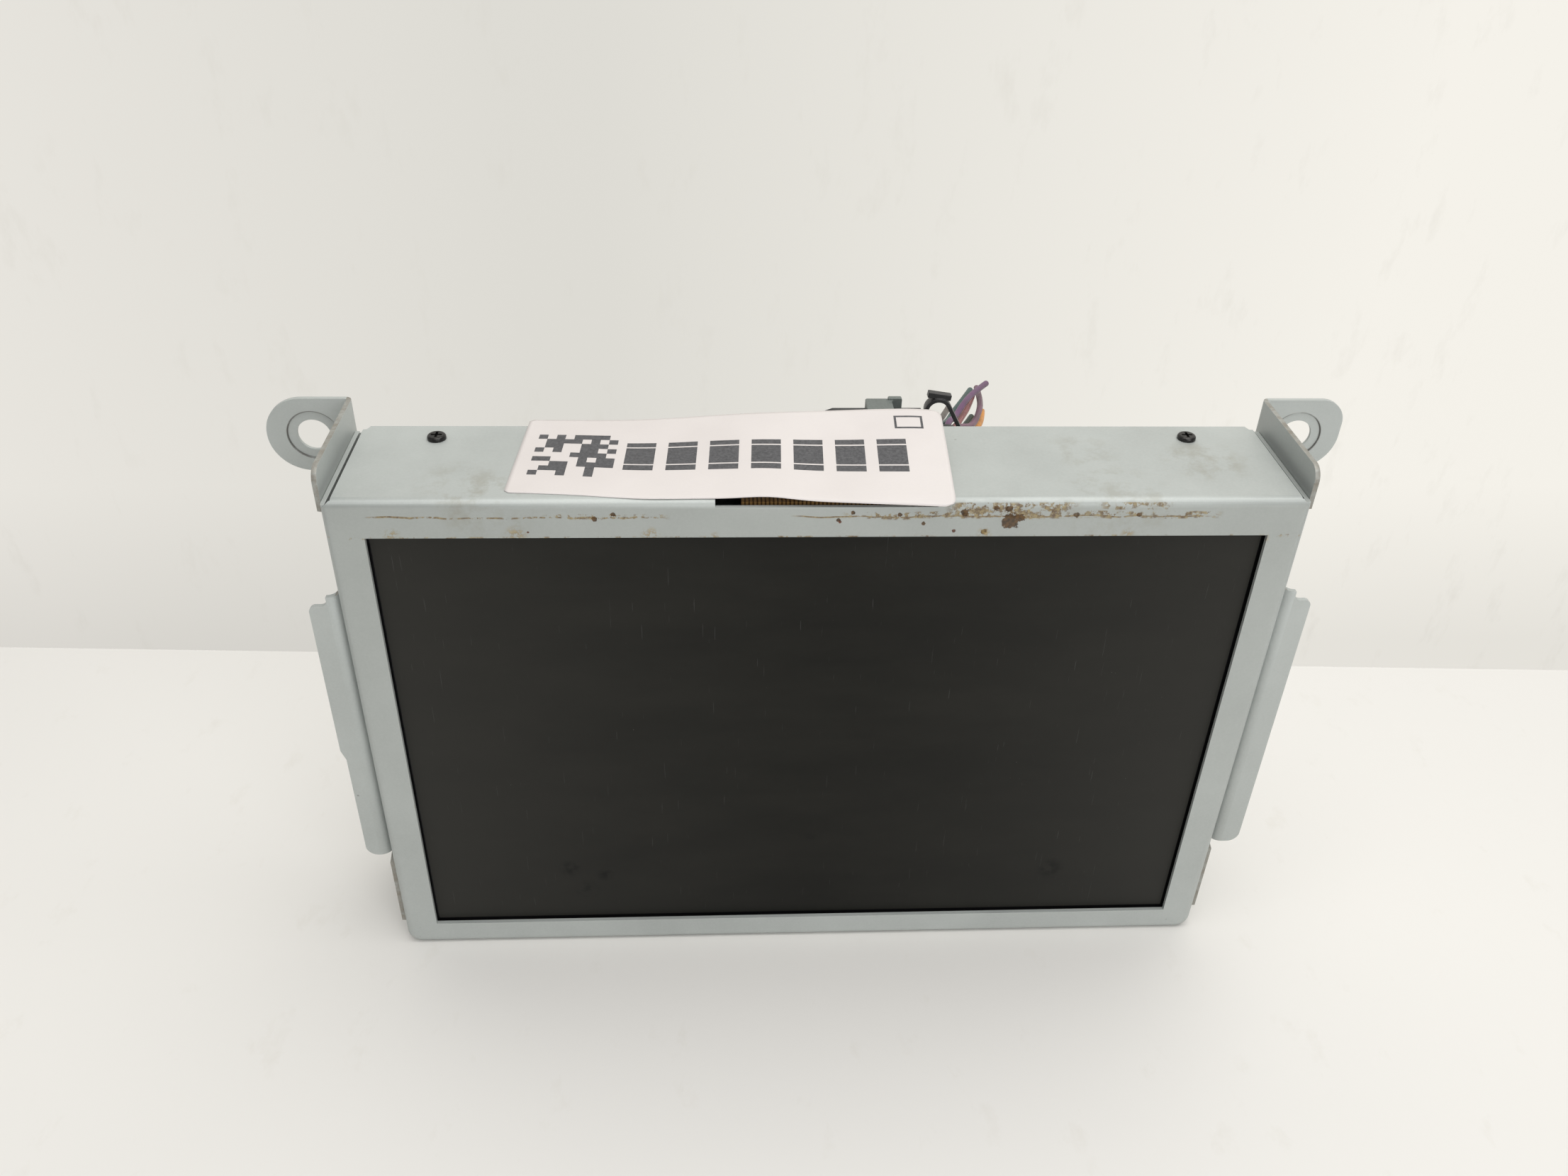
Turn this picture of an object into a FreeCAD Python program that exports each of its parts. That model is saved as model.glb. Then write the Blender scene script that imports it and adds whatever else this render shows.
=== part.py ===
import FreeCAD, Part
import math
import os
import re

import Sketcher
from FreeCAD import Placement, Rotation, Vector

# An in-dash display module: a folded steel case with a screen behind its window, a stamped
# bracket on each side, the screen's own layers and a circuit board inside, and a lever
# connector on the back with the cut ends of its harness.
#
# X runs to the right of a person who faces the screen, Y runs from the front to the back and
# Z is up. The origin is the middle of the case's underside. Depths are counted from the
# case's front face, which stands half the case's depth in front of the origin.

DIMENSIONS = (
    ("front", -15.6, "Y of the case's front face"),
    ("caseHalf", 96.6, "half the width over the side walls"),
    ("caseHeight", 124.5, "underside to top face"),
    ("caseDepth", 31.2, "front face to rear edge"),
    ("gauge", 0.9, "sheet thickness of the case"),
    ("bend", 1.8, "outside radius of the case's front bends"),
    ("windowHalf", 89.0, "half the width of the screen window"),
    ("windowLow", 6.7, "lower edge of the window"),
    ("windowHigh", 116.3, "upper edge of the window"),
    ("topWallHalf", 94.5, "half the width of the top wall"),
    ("sideWallHigh", 123.3, "upper edge of the side walls"),
    ("lowCorner", 3.5, "radius of the two lower corners"),
    ("nip", 1.9, "drop of the 45 degree nip below the side walls' top"),
    ("slotLeft", -21.4, "left end of the slot in the top bend"),
    ("slotRight", 22.0, "right end of the slot"),
    ("slotDeep", 5.2, "depth of the slot's rear edge"),
    ("slotDrop", 1.45, "how far the slot reaches down the bend"),
    ("plate", 1.0, "sheet thickness of the brackets"),
    ("plateIn", 96.7, "inner face of a bracket's plate"),
    ("plateHigh", 129.9, "upper edge of a bracket"),
    ("plateLow", 6.0, "lower edge of a bracket"),
    ("plateRear", 30.0, "rear edge of a bracket below its ear"),
    ("earRear", 34.0, "depth of the ear's rear face"),
    ("earOut", 115.6, "outer end of an ear"),
    ("earLow", 113.0, "lower edge of an ear"),
    ("earRound", 8.3, "radius of the left ear's outer corners and of the right ear's lower one"),
    ("earTight", 5.6, "radius of the right ear's upper corner"),
    ("boltOut", 105.9, "mounting hole from the middle"),
    ("boltUp", 121.4, "mounting hole above the base"),
    ("boltHole", 3.5, "radius of a mounting hole"),
    ("coinRing", 5.5, "radius of the coined seat round the hole"),
    ("coinDeep", 0.3, "depth of the coined seat"),
    ("flangeFace", 2.0, "depth of the flange's front face"),
    ("flangeOut", 103.4, "outer edge of the flange"),
    ("flangeHigh", 98.9, "upper end of the flange"),
    ("flangeLow", 28.4, "lower end of the flange"),
    ("flangeBend", 2.8, "outside radius of the flange's bend"),
    ("flangeTop", 1.4, "radius of the flange's upper corner"),
    ("flangeStep", 2.2, "how far the flange's bend runs on above the flange"),
    ("flangeFoot", 2.6, "radius of the flange's lower corner"),
    ("flangeNarrow", 0.9, "how much narrower the left flange is lower down"),
    ("earBend", 0.6, "inside radius of the ear's bend"),
    ("noseRound", 3.0, "radius of the plate's upper front corner"),
    ("headRadius", 1.95, "radius of a case screw's head"),
    ("headHigh", 0.95, "height of a case screw's head"),
    ("headRound", 0.5, "rounding of the head's rim"),
    ("crossLong", 2.3, "length of the head's cross recess"),
    ("crossWide", 0.55, "width of the recess"),
    ("crossDeep", 0.65, "depth of the recess"),
    ("shankRadius", 1.2, "radius of a case screw's shank"),
    ("shankLong", 5.0, "length of a case screw's shank"),
    ("tipLong", 1.0, "length of the screw's tapered tip"),
    ("tipRadius", 0.5, "radius of the screw's end"),
    ("hair", 0.02, "hair's breadth between two pieces that touch"),
    ("topScrewOut", 78.6, "top screw from the middle"),
    ("topScrewDeep", 25.6, "depth of a top screw"),
    ("filmFace", 1.5, "depth of the screen's matte face"),
    ("filmThick", 0.2, "anti-glare film"),
    ("filmInset", 0.47, "gap between the film and the window's edge"),
    ("touchThick", 1.1, "touch glass"),
    ("touchHalf", 92.5, "half the width of the touch glass"),
    ("touchLow", 3.2, "lower edge of the touch glass"),
    ("touchHigh", 119.6, "upper edge of the touch glass"),
    ("cellHalf", 91.4, "half the width of the display cell's bezel"),
    ("cellLow", 4.6, "lower edge of the bezel"),
    ("cellHigh", 118.4, "upper edge of the bezel"),
    ("cellFace", 3.3, "depth of the bezel's front"),
    ("cellRear", 11.6, "depth of the back plate's rear face"),
    ("cellSheet", 0.4, "sheet thickness of the bezel"),
    ("cellRim", 2.9, "width of the bezel's front rim"),
    ("backSheet", 0.55, "thickness of the back plate"),
    ("layerInset", 1.8, "edge of the optical layers inside the bezel"),
    ("stripHigh", 2.6, "height of the lamp strip"),
    ("stripThick", 1.0, "thickness of the lamp strip"),
    ("railLow", 24.0, "lower end of the side rails"),
    ("railHigh", 102.0, "upper end of the side rails"),
    ("railDeep", 8.0, "depth of the side rails from front to back"),
    ("boardFace", 17.0, "depth of the circuit board's front"),
    ("boardThick", 1.6, "circuit board"),
    ("boardHalf", 80.0, "half the width of the circuit board"),
    ("boardLow", 18.0, "lower edge of the circuit board"),
    ("boardHigh", 119.0, "upper edge of the circuit board"),
    ("coverRear", 30.8, "depth of the rear cover's outer face"),
    ("lipHalf", 86.0, "half the width of the cover's upper lip"),
    ("lipDeep", 21.0, "depth of the upper lip's front edge"),
    ("hookHalf", 60.0, "half the width of the cover's lower hook"),
    ("hookDeep", 25.0, "depth of the hook's front edge"),
    ("ribProud", 0.6, "height of the cover's pressed ribs"),
    ("sideRibIn", 76.0, "inner edge of an upright rib"),
    ("sideRibOut", 82.0, "outer edge of an upright rib"),
    ("sideRibLow", 22.0, "lower end of an upright rib"),
    ("sideRibHigh", 102.0, "upper end of an upright rib"),
    ("footRibLeft", -28.0, "left end of the level rib"),
    ("footRibRight", 60.0, "right end of the level rib"),
    ("footRibLow", 14.0, "lower edge of the level rib"),
    ("footRibHigh", 19.0, "upper edge of the level rib"),
    ("ventFirst", 36.0, "first cooling slot from the middle"),
    ("ventPitch", 5.0, "distance between cooling slots"),
    ("ventWide", 2.0, "width of a cooling slot"),
    ("ventLow", 40.0, "lower end of the cooling slots"),
    ("ventHigh", 62.0, "upper end of the cooling slots"),
    ("postOut", 70.0, "board posts from the middle"),
    ("postLow", 26.0, "height of the lower posts"),
    ("postHigh", 111.0, "height of the upper posts"),
    ("postRadius", 2.8, "radius of a board post"),
    ("boardScrewHead", 2.4, "radius of a board screw's head"),
    ("boardHeadHigh", 1.4, "height of a board screw's head"),
    ("chipGap", 0.05, "solder gap under a part on the board"),
    ("memoryWide", 14.0, "width of a memory chip"),
    ("memoryHigh", 9.0, "height of a memory chip on the board"),
    ("memoryThick", 1.2, "thickness of a memory chip"),
    ("memoryUp", 70.0, "lower edge of the memory chips"),
    ("canRadius", 4.0, "radius of a capacitor"),
    ("canLong", 8.5, "length of a capacitor"),
    ("canUp", 36.0, "height of the capacitors' middle"),
    ("tailThick", 0.25, "thickness of a flat tail"),
    ("shellLeft", 3.0, "left side of the header's shell"),
    ("shellRight", 25.8, "right side of the header's shell"),
    ("shellLow", 101.0, "underside of the header's shell"),
    ("shellHigh", 118.0, "top of the header's shell"),
    ("shellRear", 38.0, "depth of the header's mouth"),
    ("shellWall", 1.2, "wall of the header's shell"),
    ("plugGap", 0.4, "clearance round the plug"),
    ("rowHalf", 2.4, "half the distance between the two rows of pins"),
    ("pinPitch", 2.2, "distance between pins in a row"),
    ("pinWide", 0.64, "width of a pin"),
    ("pinTip", 33.5, "depth of the pins' tips"),
    ("noseDeep", 25.0, "depth of the plug's front when home"),
    ("plugRear", 44.0, "depth of the plug's rear face"),
    ("cavityWide", 1.9, "width of a contact's cavity"),
    ("tubeWide", 1.7, "width of a contact"),
    ("tubeBore", 1.0, "bore of a contact"),
    ("tubeFront", 26.5, "depth of a contact's front end"),
    ("tubeRear", 41.0, "depth of a contact's rear end"),
    ("pivotDeep", 42.3, "depth of the lever's pivot"),
    ("pivotUp", 109.5, "height of the lever's pivot"),
    ("pivotRadius", 1.6, "radius of a pivot boss"),
    ("pivotSlack", 0.05, "running clearance of the pivot"),
    ("dome", 7.2, "radius of the wire cover about the pivot"),
    ("coverFace", 44.02, "depth of the wire cover's front face"),
    ("channelRear", 47.6, "depth of the channel's rear face"),
    ("towerRear", 48.4, "depth of the tower's rear face"),
    ("barLow", 116.8, "underside of the lever's crossbar"),
    ("barHigh", 118.8, "top of the lever's crossbar"),
    ("barFront", 46.0, "depth of the crossbar's front"),
    ("barRear", 51.6, "depth of the crossbar's rear"),
    ("cheekFront", 39.6, "depth of the lever cheeks' front"),
    ("cheekWide", 1.3, "thickness of a lever cheek"),
    ("grooveLeft", 13.9, "left side of the lock's groove"),
    ("grooveRight", 17.7, "right side of the lock's groove"),
    ("grooveDeep", 1.2, "depth of the lock's groove"),
    ("lockLeft", 12.8, "left side of the lock"),
    ("lockRight", 18.8, "right side of the lock's slab"),
    ("lockFront", 44.6, "depth of the lock's front"),
    ("lockRear", 51.2, "depth of the lock's rear"),
    ("lockLift", 0.15, "gap between the lock and the crossbar"),
    ("slabHigh", 2.5, "top of the lock's slab above the crossbar"),
    ("tabLeft", 17.9, "left side of the lock's thumb tab"),
    ("tabRight", 21.1, "right side of the thumb tab"),
    ("tabThick", 1.3, "thickness of the thumb tab"),
    ("tabHigh", 3.1, "top of the thumb tab above the crossbar"),
    ("exitX", 32.4, "middle of the wire exit"),
    ("exitUp", 110.2, "height of the wire exit"),
    ("exitDeep", 53.0, "depth of the wire exit's face"),
    ("exitRadius", 3.7, "radius of the wire exit"),
    ("wireRadius", 0.75, "radius of one insulated wire"),
    ("tieDeep", 48.7, "depth of the cable tie's front edge"),
    ("tieWide", 2.4, "width of the tie's strap"),
    ("tieThick", 0.9, "thickness of the strap"),
    ("tieLow", 4.7, "radius of the tie's loop round the exit"),
    ("tieHigh", 3.1, "radius of the loop's upper end"),
    ("tieLean", -3.0, "how far the loop leans across"),
    ("tieRise", 9.0, "how far the loop stands above the exit"),
    ("tieHeadLong", 5.4, "length of the tie's head"),
    ("tieHeadHigh", 1.3, "height of the tie's head"),
    ("tieHeadWide", 1.7, "width of the tie's head"),
    ("tieHeadTurn", 9.0, "slope of the tie's head in degrees"),
    ("labelLeft", -62.1, "front left corner of the label"),
    ("labelDeep", 3.2, "depth of that corner"),
    ("labelLong", 87.4, "length of the label"),
    ("labelWide", 30.4, "width of the label"),
    ("labelThick", 0.15, "thickness of the label"),
    ("labelTurn", -3.2, "turn of the label on the top face in degrees"),
    ("labelLift", 1.9, "how far the label's right end stands up"),
)

doc = FreeCAD.newDocument("DisplayModule")
sheet = doc.addObject("Spreadsheet::Sheet", "Dimensions")
for row, (alias, value, meaning) in enumerate(DIMENSIONS, start=1):
    sheet.set("A%d" % row, meaning)
    sheet.set("B%d" % row, str(value))
    sheet.setAlias("B%d" % row, alias)
doc.recompute()

node_objects = []


# ---- helpers: expressions ----

def bound(text):
    """The text with every dimension's name pointed at the sheet."""
    return re.sub(r"[A-Za-z]+", lambda name: "Dimensions." + name.group(0), str(text))


def amount(text):
    """The present value of an expression of dimensions."""
    return float(sheet.evalExpression(bound(text)))


def bind(thing, path, text):
    """Drive one property with an expression of dimensions."""
    thing.setExpression(path, bound(text))


def deep(text):
    """A depth behind the case's front face, as a Y coordinate."""
    return "front + (%s)" % text


def depths(pair):
    return tuple(deep(text) for text in pair)


def node(thing, name):
    """Mark an object as a sub-part that goes to its own file."""
    thing.Label = name
    node_objects.append(thing)
    return thing


# ---- helpers: sketched bodies ----

PLANES = {"XY": "XY_Plane", "XZ": "XZ_Plane", "YZ": "YZ_Plane"}


def new_body(name):
    return doc.addObject("PartDesign::Body", name)


def sketch_on(body, plane, level):
    """A sketch on one of the body's origin planes, moved along the plane's own axis."""
    role = PLANES[plane]
    support = next(item for item in body.Origin.OriginFeatures if item.Role == role)
    sketch = body.newObject("Sketcher::SketchObject", "Sketch")
    sketch.AttachmentSupport = [(support, "")]
    sketch.MapMode = "FlatFace"
    sign = "-1 * " if plane == "XZ" else ""
    bind(sketch, ".AttachmentOffset.Base.z", "%s(%s)" % (sign, level))
    return sketch


def pin_point(sketch, item, which, x, y):
    """Hold one point of a sketch at the place that two expressions give."""
    for kind, text in (("DistanceX", x), ("DistanceY", y)):
        number = sketch.addConstraint(Sketcher.Constraint(kind, -1, 1, item, which, amount(text)))
        bind(sketch, "Constraints[%d]" % number, text)


def draw_outline(sketch, corners):
    points = [Vector(amount(x), amount(y), 0) for x, y in corners]
    first = sketch.GeometryCount
    count = len(corners)
    for index in range(count):
        following = points[(index + 1) % count]
        sketch.addGeometry(Part.LineSegment(points[index], following), False)
    for index in range(count):
        after = first + (index + 1) % count
        sketch.addConstraint(Sketcher.Constraint("Coincident", first + index, 2, after, 1))
    for index, (x, y) in enumerate(corners):
        pin_point(sketch, first + index, 1, x, y)


def draw_circle(sketch, x, y, radius):
    middle = Vector(amount(x), amount(y), 0)
    item = sketch.addGeometry(Part.Circle(middle, Vector(0, 0, 1), amount(radius)), False)
    pin_point(sketch, item, 3, x, y)
    number = sketch.addConstraint(Sketcher.Constraint("Radius", item, amount(radius)))
    bind(sketch, "Constraints[%d]" % number, radius)


def rectangle(low_x, high_x, low_y, high_y):
    return [(low_x, low_y), (high_x, low_y), (high_x, high_y), (low_x, high_y)]


def extrude(body, kind, plane, span, outlines=(), circles=()):
    """A Pad or Pocket between two levels of a plane's own axis."""
    low, high = span
    sketch = sketch_on(body, plane, low)
    for corners in outlines:
        draw_outline(sketch, corners)
    for circle in circles:
        draw_circle(sketch, *circle)
    before = body.Shape.Volume if body.Tip else 0.0
    feature = body.newObject("PartDesign::" + kind, kind)
    feature.Profile = sketch
    bind(feature, "Length", "(%s) - (%s)" % (high, low))
    feature.Reversed = (plane == "XZ") == (kind == "Pad")
    body.Tip = feature
    doc.recompute()
    change = body.Shape.Volume - before
    if (kind == "Pad" and change <= 0) or (kind == "Pocket" and change >= 0):
        raise RuntimeError("%s on %s changed nothing" % (kind, body.Name))
    return feature


def round_edges(body, radius, chosen):
    """Fillet the edges whose middle and direction the test accepts."""
    base = body.Tip
    names = []
    for number, edge in enumerate(base.Shape.Edges, start=1):
        if chosen(edge.CenterOfMass, edge):
            names.append("Edge%d" % number)
    if not names:
        raise RuntimeError("no edge to round on " + body.Name)
    feature = body.newObject("PartDesign::Fillet", "Fillet")
    feature.Base = (base, names)
    bind(feature, "Radius", radius)
    body.Tip = feature
    doc.recompute()
    return feature


def near(value, target, slack=0.02):
    return abs(value - target) < slack


def along(edge, axis):
    """True where a straight edge runs along the named axis."""
    if not isinstance(edge.Curve, Part.Line):
        return False
    return abs(getattr(edge.Curve.Direction, axis)) > 0.999


# ---- helpers: primitives ----

def block(name, x, y, z):
    """A box between three pairs of expressions; y is a pair of depths."""
    box = doc.addObject("Part::Box", name)
    for side, axis, pair in (("Length", "x", x), ("Width", "y", depths(y)), ("Height", "z", z)):
        bind(box, side, "(%s) - (%s)" % (pair[1], pair[0]))
        bind(box, "Placement.Base." + axis, pair[0])
    return box


def rod(name, axis, radius, span, middle):
    """A cylinder along one axis between two expressions, round the other two coordinates."""
    turn = {"x": Rotation(Vector(0, 1, 0), 90), "y": Rotation(Vector(1, 0, 0), -90), "z": Rotation()}
    cylinder = doc.addObject("Part::Cylinder", name)
    cylinder.Placement = Placement(Vector(), turn[axis])
    bind(cylinder, "Radius", radius)
    bind(cylinder, "Height", "(%s) - (%s)" % (span[1], span[0]))
    places = dict(zip([letter for letter in "xyz" if letter != axis], middle))
    places[axis] = span[0]
    for letter, text in places.items():
        bind(cylinder, "Placement.Base." + letter, text)
    return cylinder


def cut(name, base, tool):
    result = doc.addObject("Part::Cut", name)
    result.Base = base
    result.Tool = tool
    return result


def fuse(name, pieces):
    result = doc.addObject("Part::MultiFuse", name)
    result.Shapes = pieces
    return result


def ring(name, outer, inner, y):
    """A flat frame: (half width, low, high) outside and inside, between two depths."""
    outside = block(name + "Outside", ("-1 * (%s)" % outer[0], outer[0]), y, outer[1:])
    inside = block(name + "Inside", ("-1 * (%s)" % inner[0], inner[0]), y, inner[1:])
    return cut(name, outside, inside)


def group(name, shapes):
    """Several separate solids of one kind, kept as one sub-part."""
    feature = doc.addObject("Part::Feature", name)
    feature.Shape = Part.makeCompound(shapes)
    feature.Placement = Placement()
    return node(feature, name)


# ---- the case ----

def make_front_frame():
    body = new_body("FrontFrame")
    rear = deep("caseDepth")
    whole = rectangle("-caseHalf", "caseHalf", "0", "caseHeight")
    extrude(body, "Pad", "XZ", ("front", rear), [whole])
    base_corner = lambda middle, edge: along(edge, "y") and near(middle.z, 0)
    round_edges(body, "lowCorner", base_corner)
    on_front = lambda middle, edge: near(middle.y, amount("front"))
    round_edges(body, "bend", on_front)
    inside = rectangle("gauge - caseHalf", "caseHalf - gauge", "gauge", "caseHeight - gauge")
    extrude(body, "Pocket", "XZ", (deep("gauge"), rear), [inside])
    window = rectangle("-windowHalf", "windowHalf", "windowLow", "windowHigh")
    extrude(body, "Pocket", "XZ", ("front", deep("gauge")), [window])
    # the top wall stops short of the side walls, and the front is nipped at 45 degrees there
    for side in ("-1", "1"):
        gap = rectangle(side + " * topWallHalf", side + " * (caseHalf + 1)",
                        "sideWallHigh", "caseHeight + 1")
        extrude(body, "Pocket", "XZ", (deep("gauge"), deep("caseDepth + 1")), [gap])
        nip = [(side + " * (caseHalf + 1)", "caseHeight + 1"),
               (side + " * (topWallHalf - 1)", "caseHeight + 1"),
               (side + " * (caseHalf + 1)", "sideWallHigh - nip")]
        extrude(body, "Pocket", "XZ", (deep("-1"), deep("gauge")), [nip])
        step = [(side + " * (topWallHalf + 1)", deep("caseDepth + 1")),
                (side + " * (topWallHalf - 1.7)", deep("caseDepth + 1")),
                (side + " * (topWallHalf - 0.8)", deep("caseDepth - 1.4")),
                (side + " * (topWallHalf + 1)", deep("caseDepth - 1.7"))]
        extrude(body, "Pocket", "XY", ("caseHeight - 2", "caseHeight + 1"), [step])
    # the long slot through the top bend, where the touch panel's tail shows
    slot = rectangle("slotLeft", "slotRight", "caseHeight - slotDrop", "caseHeight + 1")
    extrude(body, "Pocket", "XZ", (deep("-1"), deep("slotDeep")), [slot])
    screw_holes = [(x, deep("topScrewDeep"), "shankRadius + 0.1") for x in ("-topScrewOut", "topScrewOut")]
    extrude(body, "Pocket", "XY", ("caseHeight - 2", "caseHeight + 1"), circles=screw_holes)
    side_holes = [(deep(y), z, "shankRadius + 0.1") for y, z in BRACKET_SCREWS]
    for span in (("-caseHalf - 1", "gauge + 1 - caseHalf"), ("caseHalf - gauge - 1", "caseHalf + 1")):
        extrude(body, "Pocket", "YZ", span, circles=side_holes)
    node(body, "front_frame")


def make_rear_cover():
    body = new_body("RearCover")
    outer = deep("coverRear")
    past = deep("coverRear + 1")
    lip_top = "caseHeight - gauge - 0.1"
    floor = "gauge + 0.15"
    face = rectangle("0.25 + gauge - caseHalf", "caseHalf - gauge - 0.25", floor, lip_top)
    extrude(body, "Pad", "XZ", (deep("coverRear - gauge"), outer), [face])
    lip = rectangle("-lipHalf", "lipHalf", lip_top + " - gauge", lip_top)
    extrude(body, "Pad", "XZ", (deep("lipDeep"), outer), [lip])
    hook = rectangle("-hookHalf", "hookHalf", floor, floor + " + gauge")
    extrude(body, "Pad", "XZ", (deep("hookDeep"), outer), [hook])
    back = amount(outer)
    on_back = lambda middle, edge: near(middle.y, back) and along(edge, "x")
    round_edges(body, "0.6", on_back)
    ribs = [rectangle("-sideRibOut", "-sideRibIn", "sideRibLow", "sideRibHigh"),
            rectangle("sideRibIn", "sideRibOut", "sideRibLow", "sideRibHigh"),
            rectangle("footRibLeft", "footRibRight", "footRibLow", "footRibHigh")]
    extrude(body, "Pad", "XZ", (outer, deep("coverRear + ribProud")), ribs)
    mouth = rectangle("shellLeft - 0.5", "shellRight + 0.5", "shellLow - 0.5", "shellHigh + 0.5")
    extrude(body, "Pocket", "XZ", (deep("coverRear - 2"), past), [mouth])
    lip_holes = [(x, deep("topScrewDeep"), "shankRadius + hair") for x in ("-topScrewOut", "topScrewOut")]
    extrude(body, "Pocket", "XY", ("caseHeight - 4", "caseHeight"), circles=lip_holes)
    # a row of cooling slots behind the screen's electronics
    slots = []
    for column in range(9):
        right = "-ventFirst - %d * ventPitch" % column
        slots.append(rectangle(right + " - ventWide", right, "ventLow", "ventHigh"))
    extrude(body, "Pocket", "XZ", (deep("coverRear - 2"), past), slots)
    node(body, "rear_cover")


# depth and height of each screw that holds a bracket
BRACKET_SCREWS = (("18", "38"), ("18", "92"))


def folded_tab(body, across, near_leg, tab, leg_low, span, radii):
    """A bent corner of sheet: a leg along the plate and a tab turned outward from it."""
    leg_end = deep(near_leg)
    face, back = (deep(text) for text in tab)
    outline = [("plateIn", leg_end), ("plateIn", face), (leg_low, face), (leg_low, back),
               ("plateIn + plate", back), ("plateIn + plate", leg_end)]
    extrude(body, "Pad", "XY", span, [[(across(x), y) for x, y in outline]])
    for x, y, radius in (("plateIn + plate", back, radii[0]), ("plateIn", face, radii[1])):
        at_x = amount(across(x))
        at_y = amount(y)
        is_bend = lambda middle, edge: (along(edge, "z") and near(middle.x, at_x)
                                        and near(middle.y, at_y))
        round_edges(body, radius, is_bend)


def make_bracket(side, name):
    """One stamped side bracket: a plate with a flange turned out in front and an ear behind."""
    body = new_body(name.title().replace("_", ""))

    def across(text):
        return "%d * (%s)" % (side, text)

    folded_tab(body, across, "7", ("flangeFace", "flangeFace + plate"), "flangeOut",
               ("flangeLow", "flangeHigh + flangeStep"), ("flangeBend - plate", "flangeBend"))
    folded_tab(body, across, "28", ("earRear", "earRear - plate"), "earOut",
               ("earLow", "plateHigh"), ("earBend", "earBend + plate"))
    nose = "flangeFace + 0.4"
    outline = [("flangeFace", "plateLow"), ("plateRear", "plateLow"), ("plateRear", "plateHigh"),
               (nose, "plateHigh"), (nose, "plateHigh - 8.9"), (nose + " + 6.1", "plateHigh - 12.9"),
               (nose + " + 6.1", "flangeHigh + 6"), ("flangeFace + 4", "flangeHigh"),
               ("flangeFace + 4", "flangeLow - 1.2"), ("flangeFace", "flangeLow - 2.6")]
    corners = [(deep(y), z) for y, z in outline]
    span = ("plateIn", "plateIn + plate") if side > 0 else ("-plateIn - plate", "-plateIn")
    extrude(body, "Pad", "YZ", span, [corners])
    # the flange's top dips in a small curve from the strip that holds its bend
    past_bend = "plateIn + flangeBend + 0.1"
    dip = [(across(past_bend), "flangeHigh"), (across("flangeOut + 1"), "flangeHigh"),
           (across("flangeOut + 1"), "flangeHigh + flangeStep + 1"),
           (across(past_bend), "flangeHigh + flangeStep + 1")]
    flange_depths = (deep("flangeFace - 1"), deep("flangeFace + plate + 1"))
    extrude(body, "Pocket", "XZ", flange_depths, [dip])
    if side < 0:
        # the left flange is a little narrower over its lower part
        narrow = "flangeOut - flangeNarrow"
        relief = [(across(narrow), "flangeLow - 1"), (across("flangeOut + 1"), "flangeLow - 1"),
                  (across("flangeOut + 1"), "flangeLow + 32"), (across("flangeOut"), "flangeLow + 32"),
                  (across(narrow), "flangeLow + 29.4")]
        extrude(body, "Pocket", "XZ", flange_depths, [relief])

    def corner(x, z, radius):
        at_x = amount(across(x))
        at_z = amount(z)
        is_corner = lambda middle, edge: (along(edge, "y") and near(middle.x, at_x)
                                          and near(middle.z, at_z))
        round_edges(body, radius, is_corner)

    corner("earOut", "earLow", "earRound")
    corner("earOut", "plateHigh", "earRound" if side < 0 else "earTight")
    corner("flangeOut", "flangeHigh", "flangeTop")
    corner(past_bend, "flangeHigh", "flangeTop")
    corner("flangeOut - flangeNarrow" if side < 0 else "flangeOut", "flangeLow", "flangeFoot")
    front_edge = amount(deep(nose))
    is_nose = lambda middle, edge: (along(edge, "x") and near(middle.y, front_edge)
                                    and near(middle.z, amount("plateHigh")))
    round_edges(body, "noseRound", is_nose)
    bolt = [(across("boltOut"), "boltUp", "boltHole")]
    extrude(body, "Pocket", "XZ", (deep("earRear - plate - 1"), deep("earRear + 1")), circles=bolt)
    seat = [(across("boltOut"), "boltUp", "coinRing")]
    extrude(body, "Pocket", "XZ", (deep("earRear - plate - 1"), deep("earRear - plate + coinDeep")),
            circles=seat)
    holes = [(deep(y), z, "shankRadius + 0.1") for y, z in BRACKET_SCREWS]
    low, high = span
    extrude(body, "Pocket", "YZ", (low + " - 1", high + " + 1"), circles=holes)
    node(body, name)


def screw_shape():
    """A pan-head screw with a cross recess, its seat at the origin and its head upwards."""
    down = Vector(0, 0, -1)
    head_top = amount("headHigh")
    head = Part.makeCylinder(amount("headRadius"), head_top)
    rim = [edge for edge in head.Edges if near(edge.CenterOfMass.z, head_top)]
    head = head.makeFillet(amount("headRound"), rim)
    shank = Part.makeCylinder(amount("shankRadius"), amount("shankLong"), Vector(), down)
    shank_end = Vector(0, 0, -amount("shankLong"))
    tip = Part.makeCone(amount("shankRadius"), amount("tipRadius"), amount("tipLong"), shank_end, down)
    screw = head.fuse([shank, tip])
    recess_low = head_top - amount("crossDeep")
    corner = Vector(-0.5 * amount("crossLong"), -0.5 * amount("crossWide"), recess_low)
    for angle in (0, 90):
        blade = Part.makeBox(amount("crossLong"), amount("crossWide"), head_top, corner)
        blade.rotate(Vector(), Vector(0, 0, 1), angle)
        screw = screw.cut(blade)
    return screw.removeSplitter()


def placed(shape, position, axis):
    """A copy of a shape with its own Z turned onto an axis."""
    copy = shape.copy()
    copy.Placement = Placement(position, Rotation(Vector(0, 0, 1), axis))
    return copy


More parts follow.
